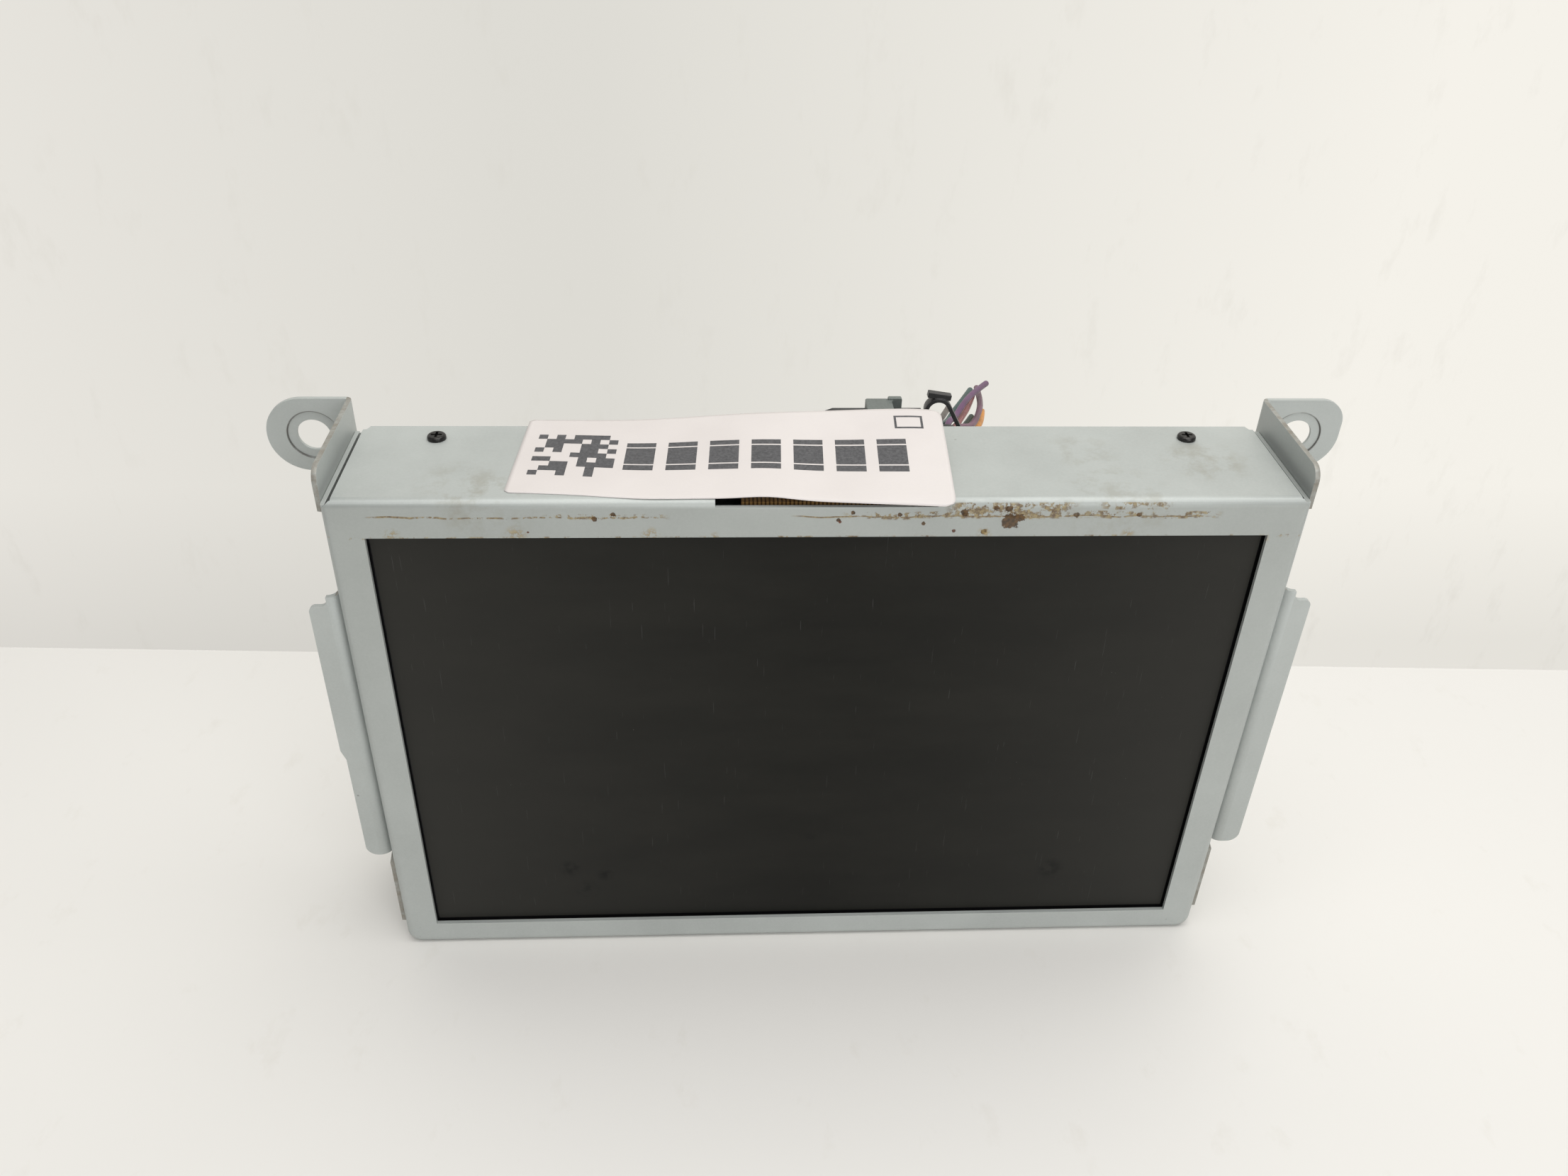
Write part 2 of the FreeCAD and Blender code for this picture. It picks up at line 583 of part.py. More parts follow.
def make_screws():
    screw = screw_shape()
    top = amount("caseHeight + hair")
    y = amount(deep("topScrewDeep"))
    places = [Vector(side * amount("topScrewOut"), y, top) for side in (-1, 1)]
    group("top_screws", [placed(screw, place, Vector(0, 0, 1)) for place in places])
    sides = []
    for side in (-1, 1):
        outward = Vector(side, 0, 0)
        for depth, z in BRACKET_SCREWS:
            seat = Vector(side * amount("plateIn + plate + hair"), amount(deep(depth)), amount(z))
            sides.append(placed(screw, seat, outward))
    group("bracket_screws", sides)


# ---- the screen, front to back ----

# The layers behind the cell's rim: near and far side behind the bezel's front, and how far
# the lower edge stands above the bezel's
OPTICAL_LAYERS = (
    ("lcd_cell", "0.5", "2.5", "1.6"),
    ("diffuser_sheets", "2.6", "3.3", "1.9"),
    ("light_guide", "3.4", "6.6", "4.6"),
    ("reflector_sheet", "6.7", "6.9", "1.9"),
)


def make_touch_panel():
    film_rear = "filmFace + filmThick"
    touch_rear = film_rear + " + touchThick"
    node(block("Film", ("filmInset - windowHalf", "windowHalf - filmInset"), ("filmFace", film_rear),
               ("windowLow + filmInset", "windowHigh - filmInset")), "anti_glare_film")
    node(block("Touch", ("-touchHalf", "touchHalf"), (film_rear, touch_rear), ("touchLow", "touchHigh")),
         "touch_glass")
    margin = "0.8"
    opening = ["%s %s %s" % (edge, sign, margin) for edge, sign in
               (("windowHalf", "+"), ("windowLow", "-"), ("windowHigh", "+"))]
    node(ring("Gasket", ("touchHalf", "touchLow", "touchHigh"), opening, ("gauge", film_rear)),
         "touch_gasket")
    node(ring("Spacer", ("cellHalf", "cellLow", "cellHigh"),
              ("cellHalf - 1.8", "cellLow + 1.6", "cellHigh - 1.6"),
              (touch_rear, "cellFace")), "spacer_tape")


def make_display_cell():
    shell = block("BezelShell", ("-cellHalf", "cellHalf"), ("cellFace", "cellRear - backSheet - 0.05"),
                  ("cellLow", "cellHigh"))
    hollow = block("BezelHollow", ("cellSheet - cellHalf", "cellHalf - cellSheet"),
                   ("cellFace + cellSheet", "cellRear + 1"), ("cellLow + cellSheet", "cellHigh - cellSheet"))
    opening = block("BezelOpening", ("cellRim - cellHalf", "cellHalf - cellRim"),
                    ("cellFace - 1", "cellFace + 1"), ("cellLow + cellRim + 0.3", "cellHigh - cellRim - 0.3"))
    node(cut("Bezel", cut("BezelCup", shell, hollow), opening), "panel_bezel")
    node(ring("Moulding", ("cellHalf - 0.5", "cellLow + 0.5", "cellHigh - 0.5"),
              ("cellHalf - 1.5", "cellLow + 1.5", "cellHigh - 1.5"),
              ("cellFace + 0.5", "cellRear - backSheet - 0.15")), "panel_moulding")
    for name, near_face, far_face, foot in OPTICAL_LAYERS:
        layer = block(name.title().replace("_", ""), ("layerInset - cellHalf", "cellHalf - layerInset"),
                      ("cellFace + " + near_face, "cellFace + " + far_face),
                      ("cellLow + " + foot, "cellHigh - layerInset"))
        node(layer, name)
    node(block("BackPlate", ("-cellHalf", "cellHalf"), ("cellRear - backSheet", "cellRear"),
               ("cellLow", "cellHigh")), "panel_back_plate")


def make_cell_fixings():
    """The lamp strip under the light guide and the rails that centre the cell in the case."""
    strip_corner = Vector(amount("4 - cellHalf"), amount(deep("cellFace + 4")), amount("cellLow + 1.7"))
    strip = Part.makeBox(amount("2 * cellHalf - 8"), amount("stripThick"), amount("stripHigh"), strip_corner)
    group("led_strip", [strip])
    gap = 0.1
    width = amount("caseHalf - gauge - cellHalf") - 2 * gap
    height = amount("railHigh - railLow")
    rails = []
    for left in (amount("cellHalf") + gap, amount("gauge - caseHalf") + gap):
        corner = Vector(left, amount(deep("cellFace")), amount("railLow"))
        rails.append(Part.makeBox(width, amount("railDeep"), height, corner))
    group("panel_rails", rails)


# ---- the circuit board ----

# Each part on the board: its left and right, its near and far side behind the board's rear
# face (less than nothing is in front of the board), and its low and high
BOARD_PARTS = (
    ("processor_chip", (-34, -10), (0.05, 2.2), (66, 90)),
    ("shield_can", (-66, -42), (0.05, 4.0), (74, 100)),
    ("power_inductor", (34, 46), (0.05, 6.0), (30, 42)),
    ("lcd_socket", (-20, 20), (-4.2, -1.65), (24, 30)),
    ("touch_socket", (-4, 22), (-4.2, -1.65), (96, 101)),
)
MEMORY_LEFT = (-4, 14)
CAPACITOR_MIDDLE = (8, 18, 58)


def make_board():
    board_rear = "boardFace + boardThick"
    plate = block("BoardPlate", ("-boardHalf", "boardHalf"), ("boardFace", board_rear),
                  ("boardLow", "boardHigh"))
    holes = []
    for x in ("-postOut", "postOut"):
        for z in ("postLow", "postHigh"):
            span = depths(("boardFace - 1", board_rear + " + 1"))
            holes.append(rod("BoardHole", "y", "shankRadius + 0.2", span, (x, z)))
    node(cut("Board", plate, fuse("BoardHoles", holes)), "main_board")
    for name, x, y, z in BOARD_PARTS:
        low, high = ("%s + %s" % (board_rear, value) for value in y)
        node(block(name.title().replace("_", ""), x, (low, high), z), name)
    rear = amount(deep(board_rear + " + chipGap"))
    chips = [Part.makeBox(amount("memoryWide"), amount("memoryThick"), amount("memoryHigh"),
                          Vector(x, rear, amount("memoryUp"))) for x in MEMORY_LEFT]
    group("memory_chips", chips)
    cans = [Part.makeCylinder(amount("canRadius"), amount("canLong"), Vector(x, rear, amount("canUp")),
                              Vector(0, 1, 0)) for x in CAPACITOR_MIDDLE]
    group("board_capacitors", cans)
    pad = block("ThermalPad", ("-33", "-11"), (board_rear + " + 2.25", "coverRear - gauge - chipGap"),
                ("67", "89"))
    node(pad, "thermal_pad")


def make_board_fixings():
    """Four posts between the board and the rear cover, each with its screw."""
    rearward = Vector(0, 1, 0)
    radius = amount("shankRadius")
    shank = Part.makeCylinder(radius, amount("shankLong"), Vector(), Vector(0, 0, -1))
    screw = Part.makeCylinder(amount("boardScrewHead"), amount("boardHeadHigh")).fuse(shank)
    reach = amount("coverRear - gauge - boardFace - boardThick")
    posts = []
    screws = []
    for x in (-amount("postOut"), amount("postOut")):
        for z in (amount("postLow"), amount("postHigh")):
            foot = Vector(x, amount(deep("boardFace + boardThick")), z)
            post = Part.makeCylinder(amount("postRadius"), reach, foot, rearward)
            deep_bore = amount("shankLong") + 1
            bore = Part.makeCylinder(radius + amount("hair"), deep_bore, foot - rearward, rearward)
            posts.append(post.cut(bore))
            seat = Vector(x, amount(deep("boardFace - hair")), z)
            screws.append(placed(screw, seat, -rearward))
    group("board_posts", posts)
    group("board_screws", screws)


def folded_strip(name, x, route):
    """A flat tail: a strip of one thickness that follows a route in depth and height."""
    left, right = x
    points = [Vector(0, amount(deep(y)), z) for y, z in route]
    ribbon = Part.makePolygon(points).extrude(Vector(right - left, 0, 0))
    ribbon.translate(Vector(left, 0, 0))
    tolerance = 0.001
    solid = ribbon.makeOffsetShape(amount("tailThick"), tolerance, fill=True, join=2)
    if solid.Volume < 0:
        solid.reverse()
    return group(name, solid.Solids or [Part.makeSolid(Part.makeShell(solid.Faces))])


def make_tails():
    over_top = (("2.25", 119.75), ("2.25", 122.9), ("15.2", 122.9), ("15.2", 101.1))
    folded_strip("touch_tail", (-16.4, 20.4), over_top)
    under_cell = (("11.75", 8), ("14.2", 8), ("14.2", 27))
    folded_strip("lcd_tail", (-17, 17), under_cell)


# ---- the connector ----

PIN_COLUMNS = 8


def pin_places():
    """The middle of every contact, in two rows."""
    middle = amount("0.5 * (shellLeft + shellRight)")
    height = amount("0.5 * (shellLow + shellHigh)")
    for row in (-amount("rowHalf"), amount("rowHalf")):
        for column in range(PIN_COLUMNS):
            offset = amount("pinPitch") * (column - 0.5 * (PIN_COLUMNS - 1))
            yield middle + offset, height + row


def square_bars(width, depth_from, depth_to):
    """A square bar at every contact's place, between two depths."""
    side = amount(width)
    start = amount(deep(depth_from))
    length = amount(deep(depth_to)) - start
    return [Part.makeBox(side, length, side, Vector(x - side / 2, start, z - side / 2))
            for x, z in pin_places()]


def tool_shape(name, shapes):
    """Several solids as one object, for cutting."""
    feature = doc.addObject("Part::Feature", name)
    feature.Shape = Part.makeCompound(shapes)
    feature.Placement = Placement()
    return feature


def make_header():
    board_rear = "boardFace + boardThick + chipGap"
    shell = block("HeaderShell", ("shellLeft", "shellRight"), (board_rear, "shellRear"),
                  ("shellLow", "shellHigh"))
    cavity = block("HeaderCavity", ("shellLeft + shellWall", "shellRight - shellWall"),
                   ("noseDeep - 1", "shellRear + 1"), ("shellLow + shellWall", "shellHigh - shellWall"))
    feet = tool_shape("HeaderPinHoles", square_bars("pinWide + hair", "boardFace", "noseDeep"))
    node(cut("Header", cut("HeaderCup", shell, cavity), feet), "header_shell")
    group("header_pins", square_bars("pinWide", board_rear, "pinTip"))


PLUG_X = ("shellLeft + shellWall + plugGap", "shellRight - shellWall - plugGap")


def make_plug():
    inner_z = ("shellLow + shellWall + plugGap", "shellHigh - shellWall - plugGap")
    step = "shellRear + 0.7"
    nose = block("PlugNose", PLUG_X, ("noseDeep", step), inner_z)
    rear = block("PlugRear", PLUG_X, (step, "plugRear"), ("pivotUp - dome", "pivotUp + dome"))
    bosses = rod("PivotBosses", "x", "pivotRadius", ("shellLeft + 0.2", "shellRight - 0.2"),
                 (deep("pivotDeep"), "pivotUp"))
    cavities = tool_shape("PlugCavities", square_bars("cavityWide", "noseDeep - 1", "plugRear + 1"))
    node(cut("Plug", fuse("PlugSolid", [nose, rear, bosses]), cavities), "plug_housing")
    outsides = square_bars("tubeWide", "tubeFront", "tubeRear")
    bores = square_bars("tubeBore", "tubeFront - 1", "tubeRear - 3")
    group("plug_terminals", [outside.cut(bore) for outside, bore in zip(outsides, bores)])


def make_wire_cover():
    """The domed cover behind the plug, with a channel under the lever to the wire exit."""
    whole = rod("DomeRound", "x", "dome", PLUG_X, (deep("pivotDeep"), "pivotUp"))
    rear_half = block("DomeHalf", ("shellLeft", "shellRight"), ("coverFace", "coverFace + 2 * dome"),
                      ("pivotUp - 2 * dome", "pivotUp + 2 * dome"))
    dome = doc.addObject("Part::Common", "Dome")
    dome.Base = whole
    dome.Tool = rear_half
    foot = "pivotUp - dome + 0.6"
    channel = block("Channel", ("shellRight - 6", "exitX + exitRadius"), ("coverFace", "channelRear"),
                    (foot, foot + " + 2.1"))
    tower = block("Tower", ("exitX - exitRadius", "exitX + exitRadius"), ("coverFace", "towerRear"),
                  (foot, "exitUp"))
    spout = rod("Spout", "y", "exitRadius", depths(("coverFace", "exitDeep")), ("exitX", "exitUp"))
    node(fuse("WireCover", [dome, channel, tower, spout]), "wire_cover")


def make_lever():
    """The black lever: two cheeks on the pivot bosses and a crossbar over the dome."""
    body = new_body("Lever")
    cheek = [("cheekFront", "pivotUp - 2.6"), ("pivotDeep + 2", "pivotUp - 2.9"), ("barRear", "barLow - 0.6"),
             ("barRear", "barHigh"), ("barFront", "barHigh"), ("cheekFront", "pivotUp + 2.6")]
    corners = [(deep(y), z) for y, z in cheek]
    extrude(body, "Pad", "YZ", ("shellLeft", "shellLeft + cheekWide"), [corners])
    bar = rectangle("shellLeft", "shellRight", "barLow", "barHigh")
    extrude(body, "Pad", "XZ", (deep("barFront"), deep("barRear")), [bar])
    extrude(body, "Pad", "YZ", ("shellRight - cheekWide", "shellRight"), [corners])
    groove = rectangle("grooveLeft", "grooveRight", "barHigh - grooveDeep", "barHigh + 1")
    extrude(body, "Pocket", "XZ", (deep("barFront - 1"), deep("barRear + 1")), [groove])
    # the crossbar's left end slopes down to its edge
    slope = [("shellLeft - 1", "barHigh + 1"), ("shellLeft - 1", "barHigh - 1.4"),
             ("shellLeft + 3.4", "barHigh + 0.3"), ("shellLeft + 3.4", "barHigh + 1")]
    extrude(body, "Pocket", "XZ", (deep("barFront - 2"), deep("barRear + 2")), [slope])
    pivot = [(deep("pivotDeep"), "pivotUp", "pivotRadius + pivotSlack")]
    extrude(body, "Pocket", "YZ", ("shellLeft - 1", "shellRight + 1"), circles=pivot)
    node(body, "plug_lever")


def make_lock():
    """The grey-green slider that locks the lever, in a groove of its crossbar."""
    seat = "barHigh + lockLift"
    slab = block("LockSlab", ("lockLeft", "lockRight"), ("lockFront", "lockRear"),
                 (seat, "barHigh + slabHigh"))
    foot = block("LockFoot", ("grooveLeft + 0.1", "grooveRight - 0.1"), ("barFront + 0.3", "lockRear"),
                 ("barHigh - grooveDeep + 0.1", seat))
    tab = block("LockTab", ("tabLeft", "tabRight"), ("lockRear - tabThick", "lockRear"),
                (seat, "barHigh + tabHigh"))
    node(fuse("Lock", [slab, foot, tab]), "lever_lock")


def teardrop_face(low, high, low_radius, high_radius, y):
    """A face in a plane across Y: two circles of different size and their outer tangents."""
    along_loop = high - low
    reach = along_loop.Length
    heading = math.atan2(along_loop.z, along_loop.x)
    spread = math.acos((low_radius - high_radius) / reach)

    def point(centre, radius, angle):
        return Vector(centre.x + radius * math.cos(angle), y, centre.z + radius * math.sin(angle))

    low_ends = [point(low, low_radius, heading + turn) for turn in (spread, -spread)]
    high_ends = [point(high, high_radius, heading + turn) for turn in (spread, -spread)]
    edges = [Part.Arc(low_ends[0], point(low, low_radius, heading + math.pi), low_ends[1]).toShape(),
             Part.LineSegment(low_ends[1], high_ends[1]).toShape(),
             Part.Arc(high_ends[1], point(high, high_radius, heading), high_ends[0]).toShape(),
             Part.LineSegment(high_ends[0], low_ends[0]).toShape()]
    return Part.Face(Part.Wire(edges))


def make_cable_tie():
    """A nylon tie drawn loosely round the wire exit, leaning over, with its head on top."""
    width = amount("tieWide")
    y = amount(deep("tieDeep"))
    low = Vector(amount("exitX"), y, amount("exitUp"))
    high = low + Vector(amount("tieLean"), 0, amount("tieRise"))
    outside = teardrop_face(low, high, amount("tieLow"), amount("tieHigh"), y)
    inside = teardrop_face(low, high, amount("tieLow - tieThick"), amount("tieHigh - tieThick"), y)
    loop = outside.cut(inside).extrude(Vector(0, width, 0))
    corner = Vector(-0.5 * amount("tieHeadLong"), 0, 0)
    head = Part.makeBox(amount("tieHeadLong"), amount("tieHeadWide"), amount("tieHeadHigh"), corner)
    on_loop = high + Vector(0, 0.5 * amount("tieWide - tieHeadWide"), amount("tieHigh") - 0.25)
    head.Placement = Placement(on_loop, Rotation(Vector(0, 1, 0), amount("tieHeadTurn")))
    group("cable_tie", [loop.fuse(head).removeSplitter()])


# ---- the harness: cut wires that leave the exit ----

# Each wire: its place on the exit's face (across, up), then the points of its route as
# (x, depth, z). The wires are cut off short, a few centimetres behind the exit.
WIRES = (
    ("wire_violet", (0.20, 2.50),
     ((33.5, 56.2, 113.1), (35.8, 61.0, 111.3), (39.2, 68.0, 112.0),
      (43.0, 75.5, 111.2), (47.5, 83.0, 110.0))),
    ("wire_brown", (2.10, 1.40),
     ((36.0, 56.2, 111.7), (40.5, 62.0, 108.4), (43.7, 70.0, 108.3),
      (45.7, 79.0, 107.4), (46.3, 88.0, 106.4))),
    ("wire_teal", (-1.70, 1.80),
     ((31.6, 56.2, 112.1), (34.1, 61.0, 110.1), (36.8, 67.5, 109.8),
      (40.2, 74.5, 109.4), (43.4, 82.0, 108.6))),
    ("wire_pink", (0.00, 0.00),
     ((33.3, 56.2, 110.2), (36.3, 61.0, 109.0), (39.2, 68.5, 107.9),
      (42.1, 76.0, 106.9), (44.3, 83.0, 106.4))),
    ("wire_green", (-1.30, -2.10),
     ((31.8, 56.2, 107.8), (35.1, 60.0, 106.1), (38.1, 67.0, 104.0),
      (41.2, 74.0, 102.3), (44.3, 81.0, 101.6))),
    ("wire_slate", (1.00, -2.30),
     ((34.4, 56.2, 107.6), (38.7, 60.5, 105.5), (42.6, 67.5, 102.6),
      (46.1, 75.0, 97.2), (49.2, 82.0, 90.3))),
    ("wire_orange", (2.50, -0.60),
     ((36.2, 56.2, 109.5), (39.9, 61.5, 106.6), (43.3, 69.0, 104.5),
      (45.9, 76.0, 103.1), (47.3, 83.0, 102.2))),
    ("wire_grey", (-2.50, -0.10),
     ((30.4, 56.2, 110.1), (31.5, 61.0, 108.8), (33.5, 68.5, 106.7),
      (36.2, 76.5, 104.2), (38.7, 84.0, 102.7))),
)


def cord_path(points, name):
    """Straight runs joined by tangent arcs, each as large as its two runs allow."""
    edges = []
    radii = []
    start = points[0]
    share = 0.45
    for before, corner, after in zip(points, points[1:], points[2:]):
        into = corner - before
        out = after - corner
        turn = into.getAngle(out)
        reach = share * min(into.Length, out.Length)
        radius = reach / math.tan(turn / 2)
        into.normalize()
        out.normalize()
        inward = out - into
        inward.normalize()
        enter = corner - into * reach
        leave = corner + out * reach
        middle = corner + inward * (radius / math.cos(turn / 2) - radius)
        edges.append(Part.LineSegment(start, enter).toShape())
        edges.append(Part.Arc(enter, middle, leave).toShape())
        radii.append(radius)
        start = leave
    edges.append(Part.LineSegment(start, points[-1]).toShape())
    print("%-16s radii %s mm" % (name, ", ".join("%.1f" % radius for radius in radii)))
    return Part.Wire(edges)


def make_wire(name, lane, route):
    first = Vector(amount("exitX") + lane[0], amount(deep("exitDeep")), amount("exitUp") + lane[1])
    points = [first] + [Vector(x, amount("front") + depth, z) for x, depth, z in route]
    path = cord_path(points, name)
    heading = points[1] - points[0]
    section = Part.Wire(Part.makeCircle(amount("wireRadius"), points[0], heading))
    tube = path.makePipeShell([section], True, True)
    expected = math.pi * amount("wireRadius") ** 2 * path.Length
    allowed = 0.02 * expected
    if abs(tube.Volume - expected) > allowed:
        raise RuntimeError("%s is not a clean tube" % name)
    group(name, [tube])


# ---- the paper label on top ----

def make_label():
    """A plain paper label that lies on the top face, its far end lifted a little."""
    thick = amount("labelThick")
    length = amount("labelLong")
    lift = amount("labelLift")
    profile = ((0, thick), (0.35 * length, thick), (0.7 * length, 0.5 * lift), (length, lift))
    upper = [Vector(x, 0, z + thick) for x, z in profile]
    lower = [Vector(x, 0, z) for x, z in reversed(profile)]
    outline = Part.makePolygon(upper + lower + [upper[0]])
    paper = Part.Face(outline).extrude(Vector(0, amount("labelWide"), 0))
    corner = Vector(amount("labelLeft"), amount(deep("labelDeep")), amount("caseHeight"))
    paper.Placement = Placement(corner, Rotation(Vector(0, 0, 1), amount("labelTurn")))
    group("stock_label", [paper])


# ---- build, check and write ----

make_front_frame()
make_rear_cover()
make_bracket(-1, "left_bracket")
make_bracket(1, "right_bracket")
make_screws()
make_touch_panel()
make_display_cell()
make_cell_fixings()
make_board()
make_board_fixings()
make_tails()
make_header()
make_plug()
make_wire_cover()
make_lever()
make_lock()
make_cable_tie()
for wire_name, wire_lane, wire_route in WIRES:
    make_wire(wire_name, wire_lane, wire_route)
make_label()
doc.recompute()

for thing in doc.Objects:
    if "Invalid" in thing.State or "Error" in thing.State:
        raise RuntimeError("%s failed: %s" % (thing.Label, thing.State))
os.makedirs("parts", exist_ok=True)
for thing in node_objects:
    shape = thing.Shape
    if shape.isNull() or not shape.isValid() or not shape.Solids:
        raise RuntimeError("%s has no valid solid" % thing.Label)
for thing in node_objects:
    thing.Shape.exportStep("parts/%s.step" % thing.Label)
print("%d sub-parts written" % len(node_objects))
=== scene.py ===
import math
import random

import bmesh
import bpy
from mathutils import Matrix, Vector


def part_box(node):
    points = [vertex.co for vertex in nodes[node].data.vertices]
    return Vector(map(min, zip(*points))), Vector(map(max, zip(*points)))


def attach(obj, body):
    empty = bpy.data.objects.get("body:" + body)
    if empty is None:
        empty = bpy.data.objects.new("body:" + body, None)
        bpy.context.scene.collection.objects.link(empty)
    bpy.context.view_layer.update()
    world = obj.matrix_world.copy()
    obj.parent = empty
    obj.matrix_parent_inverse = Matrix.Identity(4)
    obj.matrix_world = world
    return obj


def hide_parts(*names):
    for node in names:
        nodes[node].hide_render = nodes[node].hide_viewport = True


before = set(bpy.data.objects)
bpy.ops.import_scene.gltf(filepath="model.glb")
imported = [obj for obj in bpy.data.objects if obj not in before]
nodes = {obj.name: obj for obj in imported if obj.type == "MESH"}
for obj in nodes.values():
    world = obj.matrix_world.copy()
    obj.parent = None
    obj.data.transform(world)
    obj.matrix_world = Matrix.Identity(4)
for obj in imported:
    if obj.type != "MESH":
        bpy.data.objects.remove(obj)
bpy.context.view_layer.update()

# In-dash display module: zinc-plated case, matte screen, paper label and a cut harness behind.
# Everything is in metres; x runs right along the screen, y from the screen to the back, z up.

mm = 0.001
caseLow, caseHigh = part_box("front_frame")
front = caseLow[1]
top = caseHigh[2]
scene = bpy.context.scene


def place(x, depth, z):
    # millimetres, with the depth counted from the case's front face
    return Vector((x * mm, front + depth * mm, z * mm))


# The camera stands a little left of the middle, above the case, and looks down at it.
cameraSetup = {
    "location": (-0.02115, -0.22930, 0.25072),
    "turn": (55.605, -1.408, -2.652),
    "lens": 29.56,                 # lens and sensor in millimetres
    "sensor": 36.0,
    "nearest": 0.01,
    "farthest": 20.0,
}


def makeCamera():
    data = bpy.data.cameras.new("camera")
    data.lens = cameraSetup["lens"]
    data.sensor_width = cameraSetup["sensor"]
    data.clip_start = cameraSetup["nearest"]
    data.clip_end = cameraSetup["farthest"]
    camera = bpy.data.objects.new("camera", data)
    camera.location = cameraSetup["location"]
    camera.rotation_euler = [math.radians(angle) for angle in cameraSetup["turn"]]
    scene.collection.objects.link(camera)
    scene.camera = camera


# Small helpers that build shader nodes.

def newMaterial(name):
    material = bpy.data.materials.new(name)
    material.use_nodes = True
    return material, material.node_tree, material.node_tree.nodes["Principled BSDF"]


def feed(tree, socket, value):
    # a socket is linked, anything else becomes the input's own value
    if isinstance(value, bpy.types.NodeSocket):
        tree.links.new(value, socket)
    else:
        socket.default_value = value


def calc(tree, operation, first, second=0.0, clamp=False):
    node = tree.nodes.new("ShaderNodeMath")
    node.operation = operation
    node.use_clamp = clamp
    feed(tree, node.inputs[0], first)
    feed(tree, node.inputs[1], second)
    return node.outputs[0]


def times(tree, *values):
    result = values[0]
    for value in values[1:]:
        result = calc(tree, "MULTIPLY", result, value)
    return result


def objectPlace(tree):
    return tree.nodes.new("ShaderNodeTexCoord").outputs["Object"]


def stretched(tree, coords, scale):
    node = tree.nodes.new("ShaderNodeMapping")
    feed(tree, node.inputs["Vector"], coords)
    node.inputs["Scale"].default_value = scale
    return node.outputs["Vector"]


def noise(tree, coords, scale, detail=3.0, rough=0.5):
    node = tree.nodes.new("ShaderNodeTexNoise")
    feed(tree, node.inputs["Vector"], coords)
    node.inputs["Scale"].default_value = scale
    node.inputs["Detail"].default_value = detail
    node.inputs["Roughness"].default_value = rough
    return node.outputs["Fac"]


def cells(tree, coords, scale):
    node = tree.nodes.new("ShaderNodeTexVoronoi")
    feed(tree, node.inputs["Vector"], coords)
    node.inputs["Scale"].default_value = scale
    return node.outputs["Distance"]


def between(tree, value, low, high, outLow=0.0, outHigh=1.0):
    node = tree.nodes.new("ShaderNodeMapRange")
    feed(tree, node.inputs["Value"], value)
    node.inputs["From Min"].default_value = low
    node.inputs["From Max"].default_value = high
    node.inputs["To Min"].default_value = outLow
    node.inputs["To Max"].default_value = outHigh
    return node.outputs["Result"]


def blended(tree, amount, first, second):
    node = tree.nodes.new("ShaderNodeMix")
    node.data_type = "RGBA"
    feed(tree, node.inputs["Factor"], amount)
    for socket, value in ((node.inputs["A"], first), (node.inputs["B"], second)):
        if isinstance(value, tuple):
            value = (*value, 1.0)
        feed(tree, socket, value)
    return node.outputs["Result"]


def roughen(tree, bsdf, height, strength, distance):
    node = tree.nodes.new("ShaderNodeBump")
    node.inputs["Strength"].default_value = strength
    node.inputs["Distance"].default_value = distance
    feed(tree, node.inputs["Height"], height)
    tree.links.new(node.outputs["Normal"], bsdf.inputs["Normal"])


def axisOf(tree, coords, axis):
    node = tree.nodes.new("ShaderNodeSeparateXYZ")
    feed(tree, node.inputs["Vector"], coords)
    return node.outputs[axis]


def spot(tree, coords, middle, radius, soft):
    # 1 inside a ball of that radius, falling to 0 over the soft width
    node = tree.nodes.new("ShaderNodeVectorMath")
    node.operation = "DISTANCE"
    feed(tree, node.inputs[0], coords)
    node.inputs[1].default_value = middle
    return between(tree, node.outputs["Value"], radius, radius + soft, 1.0, 0.0)


def strip(tree, coords, axis, low, high, soft):
    # 1 between two values along an axis, with soft ends
    along = axisOf(tree, coords, axis)
    rise = between(tree, along, low - soft, low)
    fall = between(tree, along, high, high + soft, 1.0, 0.0)
    return calc(tree, "MULTIPLY", rise, fall)


# The plated steel: a soft cloudy grey with fine grain and a few pits.
zincLook = {
    "light": (0.465, 0.492, 0.476),
    "dark": (0.400, 0.424, 0.410),
    "fleck": (0.58, 0.61, 0.59),
    "flecked": 0.16,               # how much of the fleck colour shows
    "pit": (0.10, 0.09, 0.08),
    "pitShade": 0.7,
    "cloud": 38.0,                 # sizes of the patterns, in repeats to the metre
    "grain": 1900.0,
    "pits": 210.0,
    "pitAreas": 95.0,
    "metallic": 0.30,
    "roughness": (0.45, 0.57),
    "bump": (0.22, 0.00004),       # strength and height
}


